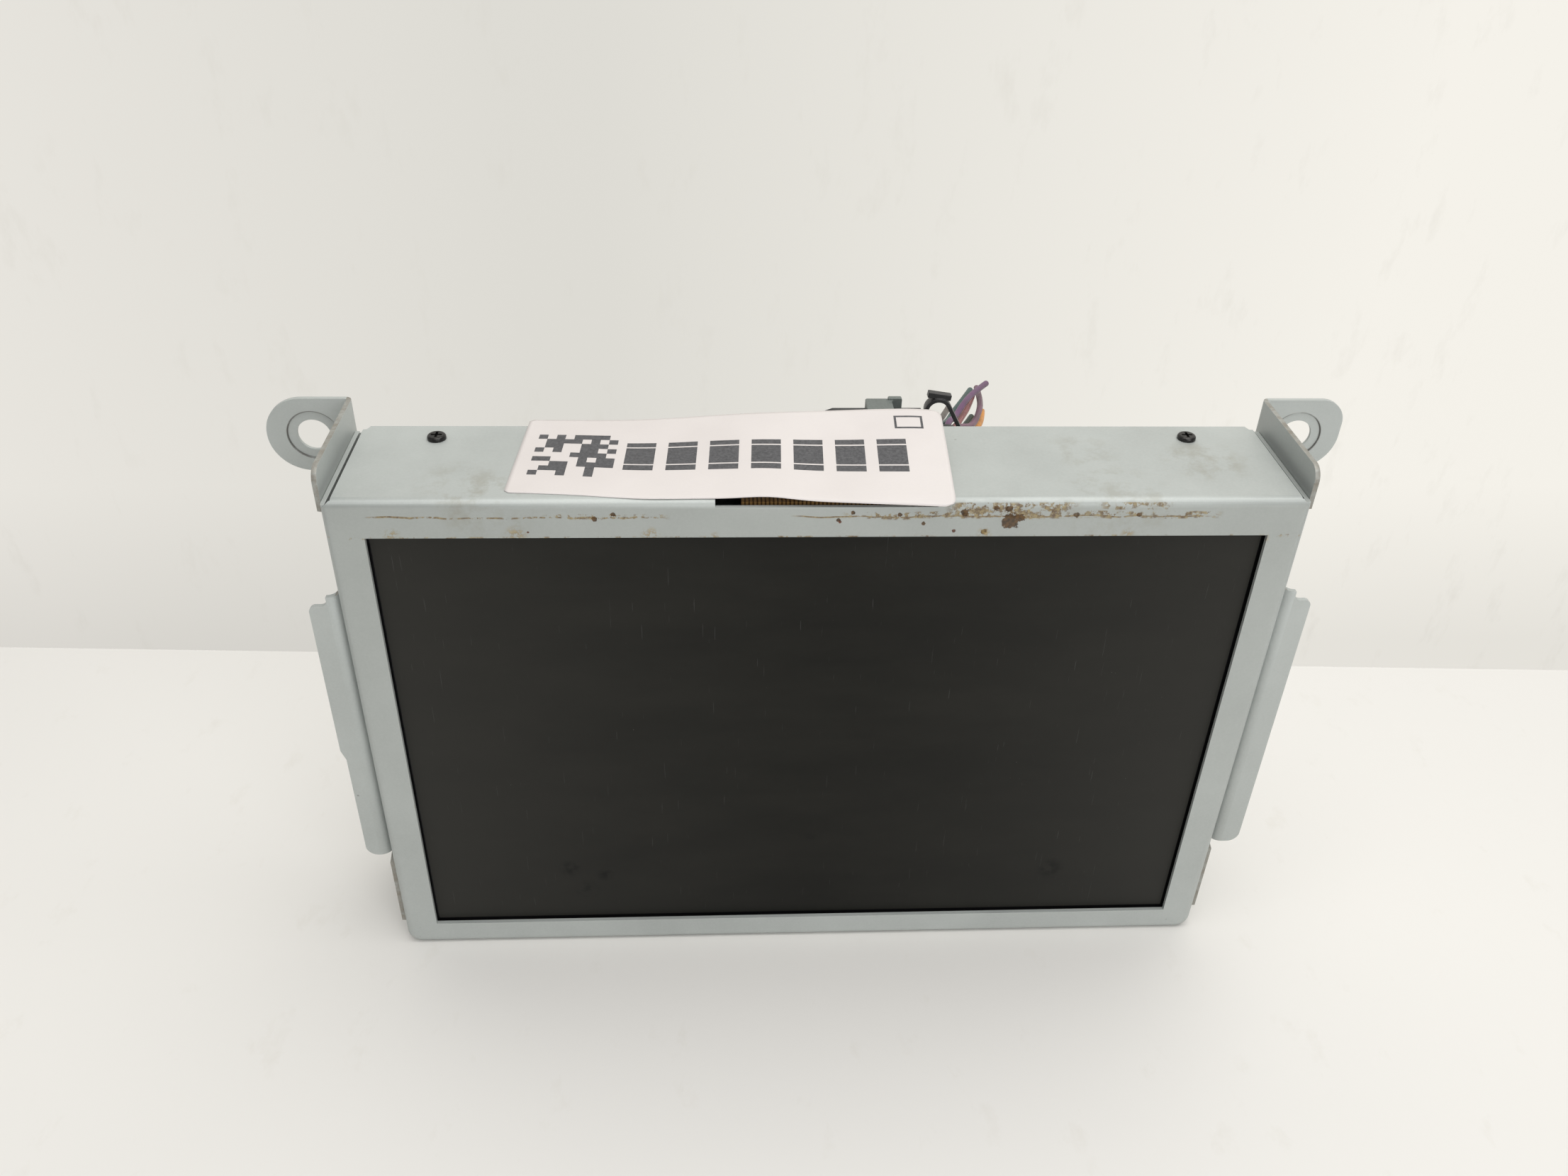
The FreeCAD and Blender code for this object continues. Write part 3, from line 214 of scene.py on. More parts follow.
def makeZinc(name, addMarks=None):
    material, tree, bsdf = newMaterial(name)
    where = objectPlace(tree)
    cloud = noise(tree, where, zincLook["cloud"], 4.0, 0.6)
    grain = noise(tree, where, zincLook["grain"], 2.0, 0.7)
    tone = blended(tree, between(tree, cloud, 0.3, 0.7), zincLook["dark"], zincLook["light"])
    flecks = between(tree, grain, 0.35, 0.75, 0.0, zincLook["flecked"])
    tone = blended(tree, flecks, tone, zincLook["fleck"])
    pits = between(tree, cells(tree, where, zincLook["pits"]), 0.035, 0.075, 1.0, 0.0)
    pitAreas = between(tree, noise(tree, where, zincLook["pitAreas"], 2.0), 0.60, 0.66)
    pits = times(tree, pits, pitAreas)
    tone = blended(tree, times(tree, pits, zincLook["pitShade"]), tone, zincLook["pit"])
    rough = between(tree, cloud, 0.3, 0.7, *zincLook["roughness"])
    if addMarks:
        tone, rough = addMarks(tree, where, tone, rough)
    feed(tree, bsdf.inputs["Base Color"], tone)
    feed(tree, bsdf.inputs["Roughness"], rough)
    bsdf.inputs["Metallic"].default_value = zincLook["metallic"]
    height = calc(tree, "SUBTRACT", grain, times(tree, pits, 2.0))
    roughen(tree, bsdf, height, *zincLook["bump"])
    return material


# What the front frame has picked up: dried glue, rust, crumbs and smears.
frontMarks = {
    "glue": (0.125, 0.062, 0.018),
    "dust": (0.37, 0.285, 0.125),
    "rust": (0.16, 0.050, 0.022),
    "darkerTop": (0.27, 0.285, 0.265),
    "darkerTopShare": 0.30,                # how much darker the front face gets towards the top
    "waver": 1.3,                  # how far a glue line wanders up and down
    "raggedness": 2.2,
    # x from, x to, height of the line, half its width, how broken up it is
    "lines": (
        (-86.0, -33.0, 120.9, 0.14, 0.44),
        (-52.0, -33.0, 121.1, 0.40, 0.52),
        (-4.0, 74.0, 120.9, 0.13, 0.36),
        (6.0, 76.0, 121.2, 0.60, 0.50),
        (26.0, 47.0, 122.3, 1.30, 0.46),
        (56.0, 66.0, 123.2, 0.60, 0.50),
    ),
    # x, height and radius of each lump, rust spot and crumb
    "lumps": (
        (36.4, 119.9, 1.9), (38.3, 120.5, 1.0), (27.2, 121.9, 0.9), (36.0, 122.6, 0.8),
        (19.3, 119.3, 0.5), (33.5, 122.8, 0.6), (14.6, 121.3, 0.6), (49.5, 121.2, 0.7),
        (62.0, 121.2, 0.6), (2.6, 120.1, 0.45), (5.4, 121.8, 0.5), (31.5, 117.4, 0.7),
        (-44.6, 120.6, 0.6), (-41.0, 121.6, 0.5),
    ),
    "rustSpots": ((2.9, 119.7, 0.42), (-57.6, 117.6, 0.28), (25.5, 117.6, 0.4)),
    "crumbs": (
        (-83.6, 116.7, 1.5), (-60.0, 116.8, 1.9), (-34.0, 116.8, 1.6), (-21.4, 116.6, 0.8),
        (88.4, 115.6, 0.9), (-88.7, 45.4, 0.5), (31.6, 116.9, 1.3), (60.4, 116.7, 1.2),
    ),
    "windowEdge": (116.0, 116.5),  # heights between which dirt sits along the window
    # x, depth, radius and strength of each greasy smear on the top face
    "smears": (
        (79.6, 15.9, 6.0, 0.45), (55.0, 20.0, 5.0, 0.30), (-71.0, 7.0, 6.0, 0.30),
        (58.0, 2.0, 9.0, 0.35), (-65.0, 1.0, 7.0, 0.35),
    ),
    "grease": (0.30, 0.29, 0.24),
}


def onFrontFace(tree, where, marks, total=0.0):
    # the strongest of some round marks on the front face
    for x, height, radius in marks:
        mark = spot(tree, where, (x * mm, front, height * mm), 0.4 * radius * mm, radius * mm)
        total = calc(tree, "MAXIMUM", mark, total)
    return total


def addGlue(tree, where, tone, rough):
    onFront = strip(tree, where, "Y", front - 0.5 * mm, front + 0.35 * mm, 0.1 * mm)
    # the front face is darker towards the top
    darkerTop = between(tree, axisOf(tree, where, "Z"), 0.0, top, 0.0, frontMarks["darkerTopShare"])
    tone = blended(tree, times(tree, darkerTop, onFront), tone, frontMarks["darkerTop"])
    wobble = noise(tree, where, 170.0, 2.0)
    fine = noise(tree, where, 1100.0, 4.0, 0.7)
    rag = noise(tree, where, 520.0, 4.0, 0.75)
    total = 0.0
    for low, high, height, half, broken in frontMarks["lines"]:
        inReach = strip(tree, where, "X", low * mm, high * mm, 3 * mm)
        lift = times(tree, calc(tree, "SUBTRACT", wobble, 0.5), frontMarks["waver"] * mm)
        offset = calc(tree, "SUBTRACT", axisOf(tree, where, "Z"), height * mm)
        away = calc(tree, "ABSOLUTE", calc(tree, "SUBTRACT", offset, lift))
        line = between(tree, away, half * mm, 1.6 * half * mm, 1.0, 0.0)
        gaps = between(tree, rag, broken, broken + 0.06)
        total = calc(tree, "MAXIMUM", times(tree, inReach, line, gaps), total)
    shade = blended(tree, between(tree, fine, 0.40, 0.62), frontMarks["glue"], frontMarks["dust"])
    tone = blended(tree, times(tree, total, onFront, 0.80), tone, shade)
    ragged = times(tree, calc(tree, "SUBTRACT", rag, 0.5), frontMarks["raggedness"])
    for marks, look in (("lumps", "glue"), ("rustSpots", "rust")):
        lumps = onFrontFace(tree, where, frontMarks[marks])
        inside = between(tree, lumps, 0.0, 0.08)
        lumps = times(tree, between(tree, calc(tree, "ADD", lumps, ragged), 0.45, 0.60), inside)
        deep = tuple(0.4 * channel for channel in frontMarks[look])
        uneven = blended(tree, between(tree, fine, 0.42, 0.58), deep, frontMarks[look])
        tone = blended(tree, times(tree, lumps, onFront, 0.9), tone, uneven)
        total = calc(tree, "MAXIMUM", total, lumps)
    # crumbs and dirt that hang along the window's upper edge
    hanging = onFrontFace(tree, where, frontMarks["crumbs"])
    hanging = times(tree, hanging, between(tree, fine, 0.46, 0.56))
    low, high = frontMarks["windowEdge"]
    edge = strip(tree, where, "Z", low * mm, high * mm, 0.2 * mm)
    edge = times(tree, edge, between(tree, rag, 0.54, 0.62))
    hanging = calc(tree, "MAXIMUM", hanging, edge)
    tone = blended(tree, times(tree, hanging, 0.75), tone, shade)
    rough = calc(tree, "ADD", rough, times(tree, total, 0.3))
    for x, depth, radius, strength in frontMarks["smears"]:
        smear = spot(tree, where, (x * mm, front + depth * mm, top), radius * mm, 4 * mm)
        patchy = between(tree, noise(tree, where, 190.0, 4.0, 0.7), 0.46, 0.64, 0.0, strength)
        tone = blended(tree, times(tree, smear, patchy), tone, frontMarks["grease"])
    return tone, rough


bracketMarks = {
    "hole": (105.9, 121.4),        # x and height of the ear's hole
    "ring": 5.55,                  # radius of the rubbed ring round it
    "line": 0.16,
    "rubbed": (0.12, 0.11, 0.10),
    "plate": (96.55, 97.85),       # x of the plate's two faces, just outside them
    "raw": (0.235, 0.215, 0.180),
}


def addBracketMarks(tree, where, tone, rough):
    # a washer has rubbed a dark ring round the ear's hole, and the sheared edges are raw
    x, height = bracketMarks["hole"]
    ringSize, line = bracketMarks["ring"] * mm, bracketMarks["line"] * mm
    flat = stretched(tree, where, (1.0, 0.0, 1.0))
    scuffed = between(tree, noise(tree, where, 300.0, 3.0), 0.36, 0.5, 0.25, 0.8)
    for side in (-1, 1):
        middle = (side * x * mm, 0.0, height * mm)
        outer = spot(tree, flat, middle, ringSize, line)
        inner = spot(tree, flat, middle, ringSize - 2 * line, line)
        ring = times(tree, calc(tree, "SUBTRACT", outer, inner, True), scuffed)
        tone = blended(tree, ring, tone, bracketMarks["rubbed"])
    normal = tree.nodes.new("ShaderNodeNewGeometry").outputs["Normal"]
    sideways = calc(tree, "ABSOLUTE", axisOf(tree, normal, "X"))
    edgeOn = between(tree, sideways, 0.25, 0.45, 1.0, 0.0)
    low, high = bracketMarks["plate"]
    outward = calc(tree, "ABSOLUTE", axisOf(tree, where, "X"))
    pastInner = calc(tree, "GREATER_THAN", outward, low * mm)
    beforeOuter = calc(tree, "LESS_THAN", outward, high * mm)
    patchy = between(tree, noise(tree, where, 420.0, 4.0, 0.7), 0.35, 0.62, 0.45, 0.95)
    raw = times(tree, edgeOn, times(tree, pastInner, beforeOuter), patchy)
    return blended(tree, raw, tone, bracketMarks["raw"]), rough


# The plainer finishes.
# colour, roughness, metallic, repeats of the grain to the metre, bump strength, how much the colour varies
plainLooks = {
    "blackPlastic": ((0.018, 0.018, 0.020), 0.42, 0.0, 2600.0, 0.30, 0.45),
    "blackNylon": ((0.030, 0.029, 0.031), 0.36, 0.0, 900.0, 0.12, 0.35),
    "lockPlastic": ((0.140, 0.158, 0.148), 0.46, 0.0, 2400.0, 0.22, 0.20),
    "foam": ((0.012, 0.012, 0.012), 0.85, 0.0, 1800.0, 0.80, 0.50),
    "blackOxide": ((0.030, 0.029, 0.028), 0.27, 0.65, 2200.0, 0.30, 0.60),
    "panelSteel": ((0.52, 0.53, 0.54), 0.34, 0.9, 700.0, 0.15, 0.12),
    "whiteResin": ((0.80, 0.80, 0.77), 0.48, 0.0, 1500.0, 0.15, 0.08),
    "boardGreen": ((0.020, 0.120, 0.055), 0.38, 0.0, 500.0, 0.20, 0.35),
    "chipEpoxy": ((0.024, 0.024, 0.026), 0.60, 0.0, 3000.0, 0.35, 0.30),
    "tinned": ((0.68, 0.67, 0.63), 0.28, 1.0, 900.0, 0.12, 0.15),
    "copper": ((0.78, 0.36, 0.18), 0.32, 1.0, 1400.0, 0.20, 0.25),
}


def makePlain(name):
    colour, rough, metallic, grainSize, bump, vary = plainLooks[name]
    material, tree, bsdf = newMaterial(name)
    where = objectPlace(tree)
    grain = noise(tree, where, grainSize, 3.0, 0.6)
    cloud = noise(tree, where, 120.0, 3.0, 0.55)
    darker = tuple(channel * (1 - vary) for channel in colour)
    lighter = tuple(min(1.0, channel * (1 + vary)) for channel in colour)
    mixed = calc(tree, "MULTIPLY", calc(tree, "ADD", cloud, grain), 0.5)
    feed(tree, bsdf.inputs["Base Color"], blended(tree, between(tree, mixed, 0.35, 0.65), darker, lighter))
    feed(tree, bsdf.inputs["Roughness"], between(tree, cloud, 0.3, 0.7, rough - 0.06, rough + 0.08))
    bsdf.inputs["Metallic"].default_value = metallic
    roughen(tree, bsdf, grain, bump, 0.00005)
    return material


filmLook = {
    "clean": ((0.0075, 0.0075, 0.0060), (0.0125, 0.0122, 0.0098)),
    # lighter colour that stands in for light scattered by the matte film: painted sheen
    "paintedSheen": (0.036, 0.035, 0.031),
    "paintedSheenShare": 0.55,
    "paintedSheenMiddle": 2.0,             # x where the painted sheen is weakest
    "paintedSheenReach": 88.0,             # how far from there the painted sheen is full
    "dust": (0.22, 0.21, 0.19),
    "mark": (0.004, 0.004, 0.004),
    # x, height and radius of each fingertip mark
    "marks": (
        (0.2, 32.6, 1.4), (-56.0, 23.3, 2.4), (-52.3, 16.0, 2.6), (58.7, 20.5, 3.0), (-48.0, 21.0, 1.8),
    ),
    "markDepth": 1.5,
    "scratch": (0.10, 0.10, 0.10),
    "roughness": (0.40, 0.47),
    "shine": 0.14,
}


def makeFilm():
    # the matte anti-glare face, with wiped smudges, dust, hairline scratches and a painted sheen towards both
    # ends
    material, tree, bsdf = newMaterial("screenFilm")
    where = objectPlace(tree)
    sparkle = noise(tree, where, 5200.0, 1.0)
    wiped = noise(tree, stretched(tree, where, (9.0, 9.0, 26.0)), 3.0, 4.0, 0.6)
    tone = blended(tree, between(tree, wiped, 0.35, 0.68), *filmLook["clean"])
    # painted sheen: the face is lighter towards both ends, standing in for light that the matte film scatters
    across = axisOf(tree, where, "X")
    away = calc(tree, "ABSOLUTE", calc(tree, "SUBTRACT", across, filmLook["paintedSheenMiddle"] * mm))
    paintedSheen = calc(tree, "POWER", between(tree, away, 0.0, filmLook["paintedSheenReach"] * mm), 1.5)
    tone = blended(tree, times(tree, paintedSheen, filmLook["paintedSheenShare"]), tone, filmLook["paintedSheen"])
    dust = between(tree, cells(tree, where, 480.0), 0.02, 0.05, 1.0, 0.0)
    dustAreas = between(tree, noise(tree, where, 70.0, 2.0), 0.62, 0.68)
    tone = blended(tree, times(tree, dust, dustAreas, 0.5), tone, filmLook["dust"])
    rough = between(tree, wiped, 0.35, 0.68, *filmLook["roughness"])
    for x, height, radius in filmLook["marks"]:
        middle = (x * mm, front + filmLook["markDepth"] * mm, height * mm)
        mark = spot(tree, where, middle, 0.3 * radius * mm, radius * mm)
        ragged = between(tree, noise(tree, where, 600.0, 3.0), 0.38, 0.6)
        mark = times(tree, mark, ragged)
        tone = blended(tree, times(tree, mark, 0.75), tone, filmLook["mark"])
        rough = calc(tree, "SUBTRACT", rough, times(tree, mark, 0.08))
    scratches = noise(tree, stretched(tree, where, (900.0, 60.0, 26.0)), 4.0, 2.0)
    scratches = between(tree, scratches, 0.735, 0.76)
    tone = blended(tree, times(tree, scratches, 0.25), tone, filmLook["scratch"])
    feed(tree, bsdf.inputs["Base Color"], tone)
    feed(tree, bsdf.inputs["Roughness"], rough)
    bsdf.inputs["Specular IOR Level"].default_value = filmLook["shine"]
    roughen(tree, bsdf, sparkle, 0.30, 0.00002)
    return material


def makeGloss():
    # the black glass border under the window's edge
    material, tree, bsdf = newMaterial("blackGlass")
    cloud = noise(tree, objectPlace(tree), 60.0, 3.0)
    tone = blended(tree, cloud, (0.003, 0.003, 0.003), (0.007, 0.007, 0.008))
    feed(tree, bsdf.inputs["Base Color"], tone)
    feed(tree, bsdf.inputs["Roughness"], between(tree, cloud, 0.3, 0.7, 0.08, 0.16))
    roughen(tree, bsdf, cloud, 0.03, 0.0002)
    return material


flexLook = {
    "film": ((0.055, 0.028, 0.010), (0.095, 0.050, 0.016)),
    "trace": (0.26, 0.15, 0.055),
    "tracesPerMetre": 1250.0,
}


def makeFlex():
    # amber film over a row of fine copper traces
    material, tree, bsdf = newMaterial("amberFlex")
    where = objectPlace(tree)
    across = times(tree, axisOf(tree, where, "X"), flexLook["tracesPerMetre"])
    wave = calc(tree, "ABSOLUTE", calc(tree, "SUBTRACT", calc(tree, "FRACT", across), 0.5))
    trace = between(tree, wave, 0.16, 0.24)
    cloud = noise(tree, where, 240.0, 3.0)
    tone = blended(tree, trace, blended(tree, cloud, *flexLook["film"]), flexLook["trace"])
    feed(tree, bsdf.inputs["Base Color"], tone)
    feed(tree, bsdf.inputs["Roughness"], between(tree, cloud, 0.3, 0.7, 0.22, 0.36))
    roughen(tree, bsdf, trace, 0.25, 0.00003)
    return material


paperLook = {
    "sheet": ((0.630, 0.590, 0.572), (0.672, 0.632, 0.613)),
    "fibre": (0.58, 0.55, 0.53),
    "ink": ((0.045, 0.045, 0.050), (0.105, 0.105, 0.110)),
}


def makePaper():
    material, tree, bsdf = newMaterial("labelPaper")
    where = objectPlace(tree)
    fibre = noise(tree, stretched(tree, where, (1.0, 1.6, 1.0)), 1500.0, 4.0, 0.65)
    cloud = noise(tree, where, 45.0, 3.0)
    tone = blended(tree, between(tree, cloud, 0.35, 0.65), *paperLook["sheet"])
    tone = blended(tree, between(tree, fibre, 0.3, 0.75, 0.0, 0.12), tone, paperLook["fibre"])
    feed(tree, bsdf.inputs["Base Color"], tone)
    feed(tree, bsdf.inputs["Roughness"], between(tree, fibre, 0.3, 0.7, 0.52, 0.66))
    roughen(tree, bsdf, fibre, 0.12, 0.00003)
    return material


def makeInk():
    # thermal print, thin in places where the head skipped
    material, tree, bsdf = newMaterial("printInk")
    mottle = noise(tree, objectPlace(tree), 1700.0, 3.0, 0.7)
    feed(tree, bsdf.inputs["Base Color"], blended(tree, between(tree, mottle, 0.35, 0.7), *paperLook["ink"]))
    feed(tree, bsdf.inputs["Roughness"], between(tree, mottle, 0.3, 0.7, 0.45, 0.6))
    return material


def makeInsulation(name, colour):
    material, tree, bsdf = newMaterial(name)
    where = objectPlace(tree)
    cloud = noise(tree, where, 420.0, 4.0, 0.6)
    dirt = between(tree, noise(tree, where, 160.0, 3.0), 0.5, 0.72, 0.0, 0.45)
    tone = blended(tree, cloud, tuple(channel * 0.75 for channel in colour), colour)
    tone = blended(tree, dirt, tone, (0.05, 0.045, 0.04))
    feed(tree, bsdf.inputs["Base Color"], tone)
    feed(tree, bsdf.inputs["Roughness"], between(tree, cloud, 0.3, 0.7, 0.32, 0.48))
    roughen(tree, bsdf, noise(tree, where, 2600.0, 2.0), 0.12, 0.00003)
    return material


finish = {name: makePlain(name) for name in plainLooks}
finish["zinc"] = makeZinc("zincPlate")
finish["zincFront"] = makeZinc("zincPlateFront", addGlue)
finish["zincBracket"] = makeZinc("zincPlateBracket", addBracketMarks)
finish["film"] = makeFilm()
finish["gloss"] = makeGloss()
finish["flex"] = makeFlex()
finish["paper"] = makePaper()
finish["ink"] = makeInk()


def meshData(name, mesh):
    data = bpy.data.meshes.new(name)
    mesh.to_mesh(data)
    mesh.free()
    return data


def newObject(name, data, body, material):
    piece = bpy.data.objects.new(name, data)
    scene.collection.objects.link(piece)
    data.materials.append(material)
    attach(piece, body)
    return piece


def smoothAll(data):
    for face in data.polygons:
        face.use_smooth = True


# The harness: wires cut off short behind the connector.
wireSetup = {
    "exit": (32.4, 53.0, 110.2),
    "radius": 0.75,
    "copper": 0.42,                # radius of the conductor
    "strands": 6,                  # round one in the middle
    "strandSpread": 0.62,          # these three are shares of the conductor's radius
    "strandFoot": 0.3,
    "strandTip": 0.26,
    "bare": 0.30,                  # the strands are this long and start inside the wire's end
    "proud": 0.06,
    "firstSeed": 40,
}

# each wire: colour, where it leaves the exit, and the points of its route (x, depth, z)
wires = {
    "wire_violet": (
        (0.150, 0.062, 0.150), (0.20, 2.50),
        ((33.5, 56.2, 113.1), (35.8, 61.0, 111.3), (39.2, 68.0, 112.0),
         (43.0, 75.5, 111.2), (47.5, 83.0, 110.0))),
    "wire_brown": (
        (0.185, 0.085, 0.130), (2.10, 1.40),
        ((36.0, 56.2, 111.7), (40.5, 62.0, 108.4), (43.7, 70.0, 108.3),
         (45.7, 79.0, 107.4), (46.3, 88.0, 106.4))),
    "wire_teal": (
        (0.035, 0.085, 0.080), (-1.70, 1.80),
        ((31.6, 56.2, 112.1), (34.1, 61.0, 110.1), (36.8, 67.5, 109.8),
         (40.2, 74.5, 109.4), (43.4, 82.0, 108.6))),
    "wire_pink": (
        (0.420, 0.165, 0.165), (0.00, 0.00),
        ((33.3, 56.2, 110.2), (36.3, 61.0, 109.0), (39.2, 68.5, 107.9),
         (42.1, 76.0, 106.9), (44.3, 83.0, 106.4))),
    "wire_green": (
        (0.018, 0.050, 0.034), (-1.30, -2.10),
        ((31.8, 56.2, 107.8), (35.1, 60.0, 106.1), (38.1, 67.0, 104.0),
         (41.2, 74.0, 102.3), (44.3, 81.0, 101.6))),
    "wire_slate": (
        (0.115, 0.165, 0.215), (1.00, -2.30),
        ((34.4, 56.2, 107.6), (38.7, 60.5, 105.5), (42.6, 67.5, 102.6),
         (46.1, 75.0, 97.2), (49.2, 82.0, 90.3))),
    "wire_orange": (
        (0.780, 0.300, 0.020), (2.50, -0.60),
        ((36.2, 56.2, 109.5), (39.9, 61.5, 106.6), (43.3, 69.0, 104.5),
         (45.9, 76.0, 103.1), (47.3, 83.0, 102.2))),
    "wire_grey": (
        (0.085, 0.065, 0.055), (-2.50, -0.10),
        ((30.4, 56.2, 110.1), (31.5, 61.0, 108.8), (33.5, 68.5, 106.7),
         (36.2, 76.5, 104.2), (38.7, 84.0, 102.7))),
}


def makeCurve(name, points, radius):
    data = bpy.data.curves.new(name, "CURVE")
    data.dimensions = "3D"
    data.bevel_depth = radius
    data.bevel_resolution = 6
    data.resolution_u = 12
    data.use_fill_caps = True
    line = data.splines.new("NURBS")
    line.points.add(len(points) - 1)
    for item, point in zip(line.points, points):
        item.co = (*point, 1.0)
    line.order_u = 3
    line.use_endpoint_u = True
    return data


def routeLength(data):
    # length of the smooth line itself, read from an unbevelled copy
    bare = data.copy()
    bare.bevel_depth = 0.0
    holder = bpy.data.objects.new("measure", bare)
    mesh = bpy.data.meshes.new_from_object(holder)
    spots = [vertex.co.copy() for vertex in mesh.vertices]
    bpy.data.objects.remove(holder)
    bpy.data.curves.remove(bare)
    bpy.data.meshes.remove(mesh)
    return sum((b - a).length for a, b in zip(spots, spots[1:]))


def makeStrands(name, end, heading, seed):
    # the cut conductor: a bundle of fine copper strands that stands a little proud
    draw = random.Random(seed)
    mesh = bmesh.new()
    side = heading.orthogonal().normalized()
    other = heading.cross(side)
    turn = heading.to_track_quat("Z", "Y").to_matrix().to_4x4()
    reach = wireSetup["copper"] * mm
    length = wireSetup["bare"] * mm
    count = wireSetup["strands"]
    for index in range(count + 1):
        angle = index * math.tau / count
        spread = 0.0 if index == count else reach * wireSetup["strandSpread"]
        middle = end + side * math.cos(angle) * spread + other * math.sin(angle) * spread
        proud = wireSetup["proud"] * mm * draw.uniform(0.5, 1.0)
        standing = Matrix.Translation(middle + heading * (proud - length / 2)) @ turn
        bmesh.ops.create_cone(mesh, cap_ends=True, segments=8, radius1=reach * wireSetup["strandFoot"],
                              radius2=reach * wireSetup["strandTip"], depth=length, matrix=standing)
    data = meshData(name, mesh)
    smoothAll(data)
    return newObject(name, data, "plug", finish["copper"])


def makeWires():
    exitX, exitDepth, exitZ = wireSetup["exit"]
    for number, (name, (colour, lane, route)) in enumerate(wires.items()):
        start = place(exitX + lane[0], exitDepth, exitZ + lane[1])
        points = [start] + [place(*point) for point in route]
        data = makeCurve(name + "_lead", points, wireSetup["radius"] * mm)
        data.materials.append(makeInsulation(name + "Skin", colour))
        lead = bpy.data.objects.new(name + "_lead", data)
        scene.collection.objects.link(lead)
        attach(lead, "plug")
        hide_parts(name)
        heading = (points[-1] - points[-2]).normalized()
        strands = makeStrands(name + "_strands", points[-1], heading, wireSetup["firstSeed"] + number)
        length = routeLength(data)
        print("wire", name, "%.1f mm" % (length / mm))


makeCamera()
makeWires()
print("camera and wires done")


# Finish and rounded-edge width in mm for every part that keeps its own mesh.
carried = {
    "front_frame": ("zincFront", 0.10), "rear_cover": ("zinc", 0.0),
    "left_bracket": ("zincBracket", 0.10), "right_bracket": ("zincBracket", 0.10),
    "top_screws": ("blackOxide", 0.05), "bracket_screws": ("blackOxide", 0.05),
    "board_screws": ("tinned", 0.0), "board_posts": ("tinned", 0.0),
    "anti_glare_film": ("film", 0.0), "touch_glass": ("gloss", 0.0), "touch_gasket": ("foam", 0.0),
    "spacer_tape": ("foam", 0.0), "panel_bezel": ("panelSteel", 0.0), "panel_moulding": ("whiteResin", 0.0),
    "lcd_cell": ("gloss", 0.0), "diffuser_sheets": ("whiteResin", 0.0), "light_guide": ("whiteResin", 0.0),
    "reflector_sheet": ("whiteResin", 0.0), "panel_back_plate": ("panelSteel", 0.0),
    "led_strip": ("boardGreen", 0.0), "panel_rails": ("blackPlastic", 0.0), "main_board": ("boardGreen", 0.0),
    "processor_chip": ("chipEpoxy", 0.0), "shield_can": ("tinned", 0.0), "power_inductor": ("chipEpoxy", 0.0),
    "lcd_socket": ("whiteResin", 0.0), "touch_socket": ("whiteResin", 0.0), "memory_chips": ("chipEpoxy", 0.0),
    "board_capacitors": ("tinned", 0.0), "thermal_pad": ("foam", 0.0), "touch_tail": ("flex", 0.0),
    "lcd_tail": ("flex", 0.0), "header_shell": ("blackPlastic", 0.15), "header_pins": ("tinned", 0.0),
    "plug_housing": ("blackPlastic", 0.15), "plug_terminals": ("tinned", 0.0),
    "wire_cover": ("blackPlastic", 0.25), "plug_lever": ("blackPlastic", 0.25),
    "lever_lock": ("lockPlastic", 0.3), "cable_tie": ("blackNylon", 0.2),
}
softEdge = {
    "weld": 0.002,                 # points this close become one, in mm
    "segments": 2,
    "angle": 50,                   # only edges sharper than this are rounded
}


def dressCarried():
    for name, (look, edge) in carried.items():
        part = nodes[name]
        part.data.materials.clear()
        part.data.materials.append(finish[look])
        if edge:
            weld = part.modifiers.new("weld", "WELD")
            weld.merge_threshold = softEdge["weld"] * mm
            bevel = part.modifiers.new("softEdge", "BEVEL")
            bevel.width = edge * mm
            bevel.segments = softEdge["segments"]
            bevel.limit_method = "ANGLE"
            bevel.angle_limit = math.radians(softEdge["angle"])


dressCarried()
print("carried parts dressed")


# The paper label on the top face, its back edge lifted.
label = {
    "corner": (-62.1, 3.3),        # x and depth of its front left corner
    "turn": -3.2,                  # degrees
    "length": 87.4,
    "width": 30.4,
    "rounding": (0.9, 2.0),        # left and right corners
    "thick": 0.13,
    "farLift": 5.0,                # how far the back right corner stands up
    "droop": 0.25,                 # and how far its very tip drops again
    "drawnIn": 0.9,                # how far the lifted corner is drawn to the left
    "bump": (51.0, 6.5, 0.7),      # the front edge arches over the slot: middle, spread, height
    "bulge": (26.0, 11.0, 0.9),    # the front edge bows forward: middle, spread, reach
    "wave": 0.18,
    "offTop": 0.16,
    "foldFrom": 1.9,               # nearer the front than this the paper follows the bend
    "columns": 110,
    "rows": 44,
}


def easeIn(value, low, high):
    part = min(1.0, max(0.0, (value - low) / (high - low)))
    return part * part * (3 - 2 * part)


def hump(value, middle, spread, size):
    return size * math.exp(-((value - middle) / spread) ** 2)


def labelHeight(along, across):
    # how far the paper stands off the top face: the back edge rises to the right
    back = across / label["width"]
    rise = label["farLift"] * easeIn(along, 0, 85) * back ** 1.35
    rise -= label["droop"] * easeIn(along, 80, 88) * back ** 3
    rise += hump(along, *label["bump"]) * (1 - back) ** 2
    rise += label["wave"] * math.sin(along * 0.16 + 0.6) * math.sin(back * 2.4)
    return label["offTop"] + max(0.0, rise)


def labelPoint(along, across, lift=0.0):
    turn = math.radians(label["turn"])
    x = label["corner"][0] + along * math.cos(turn) - across * math.sin(turn)
    depth = label["corner"][1] + along * math.sin(turn) + across * math.cos(turn)
    back = across / label["width"]
    x -= label["drawnIn"] * back ** 1.5 * along / label["length"]
    depth -= hump(along, *label["bulge"]) * (1 - back) ** 2
    height = top / mm + labelHeight(along, across)
    height -= 0.05 * max(0.0, label["foldFrom"] - depth) ** 2
    return place(x, depth, height + lift)


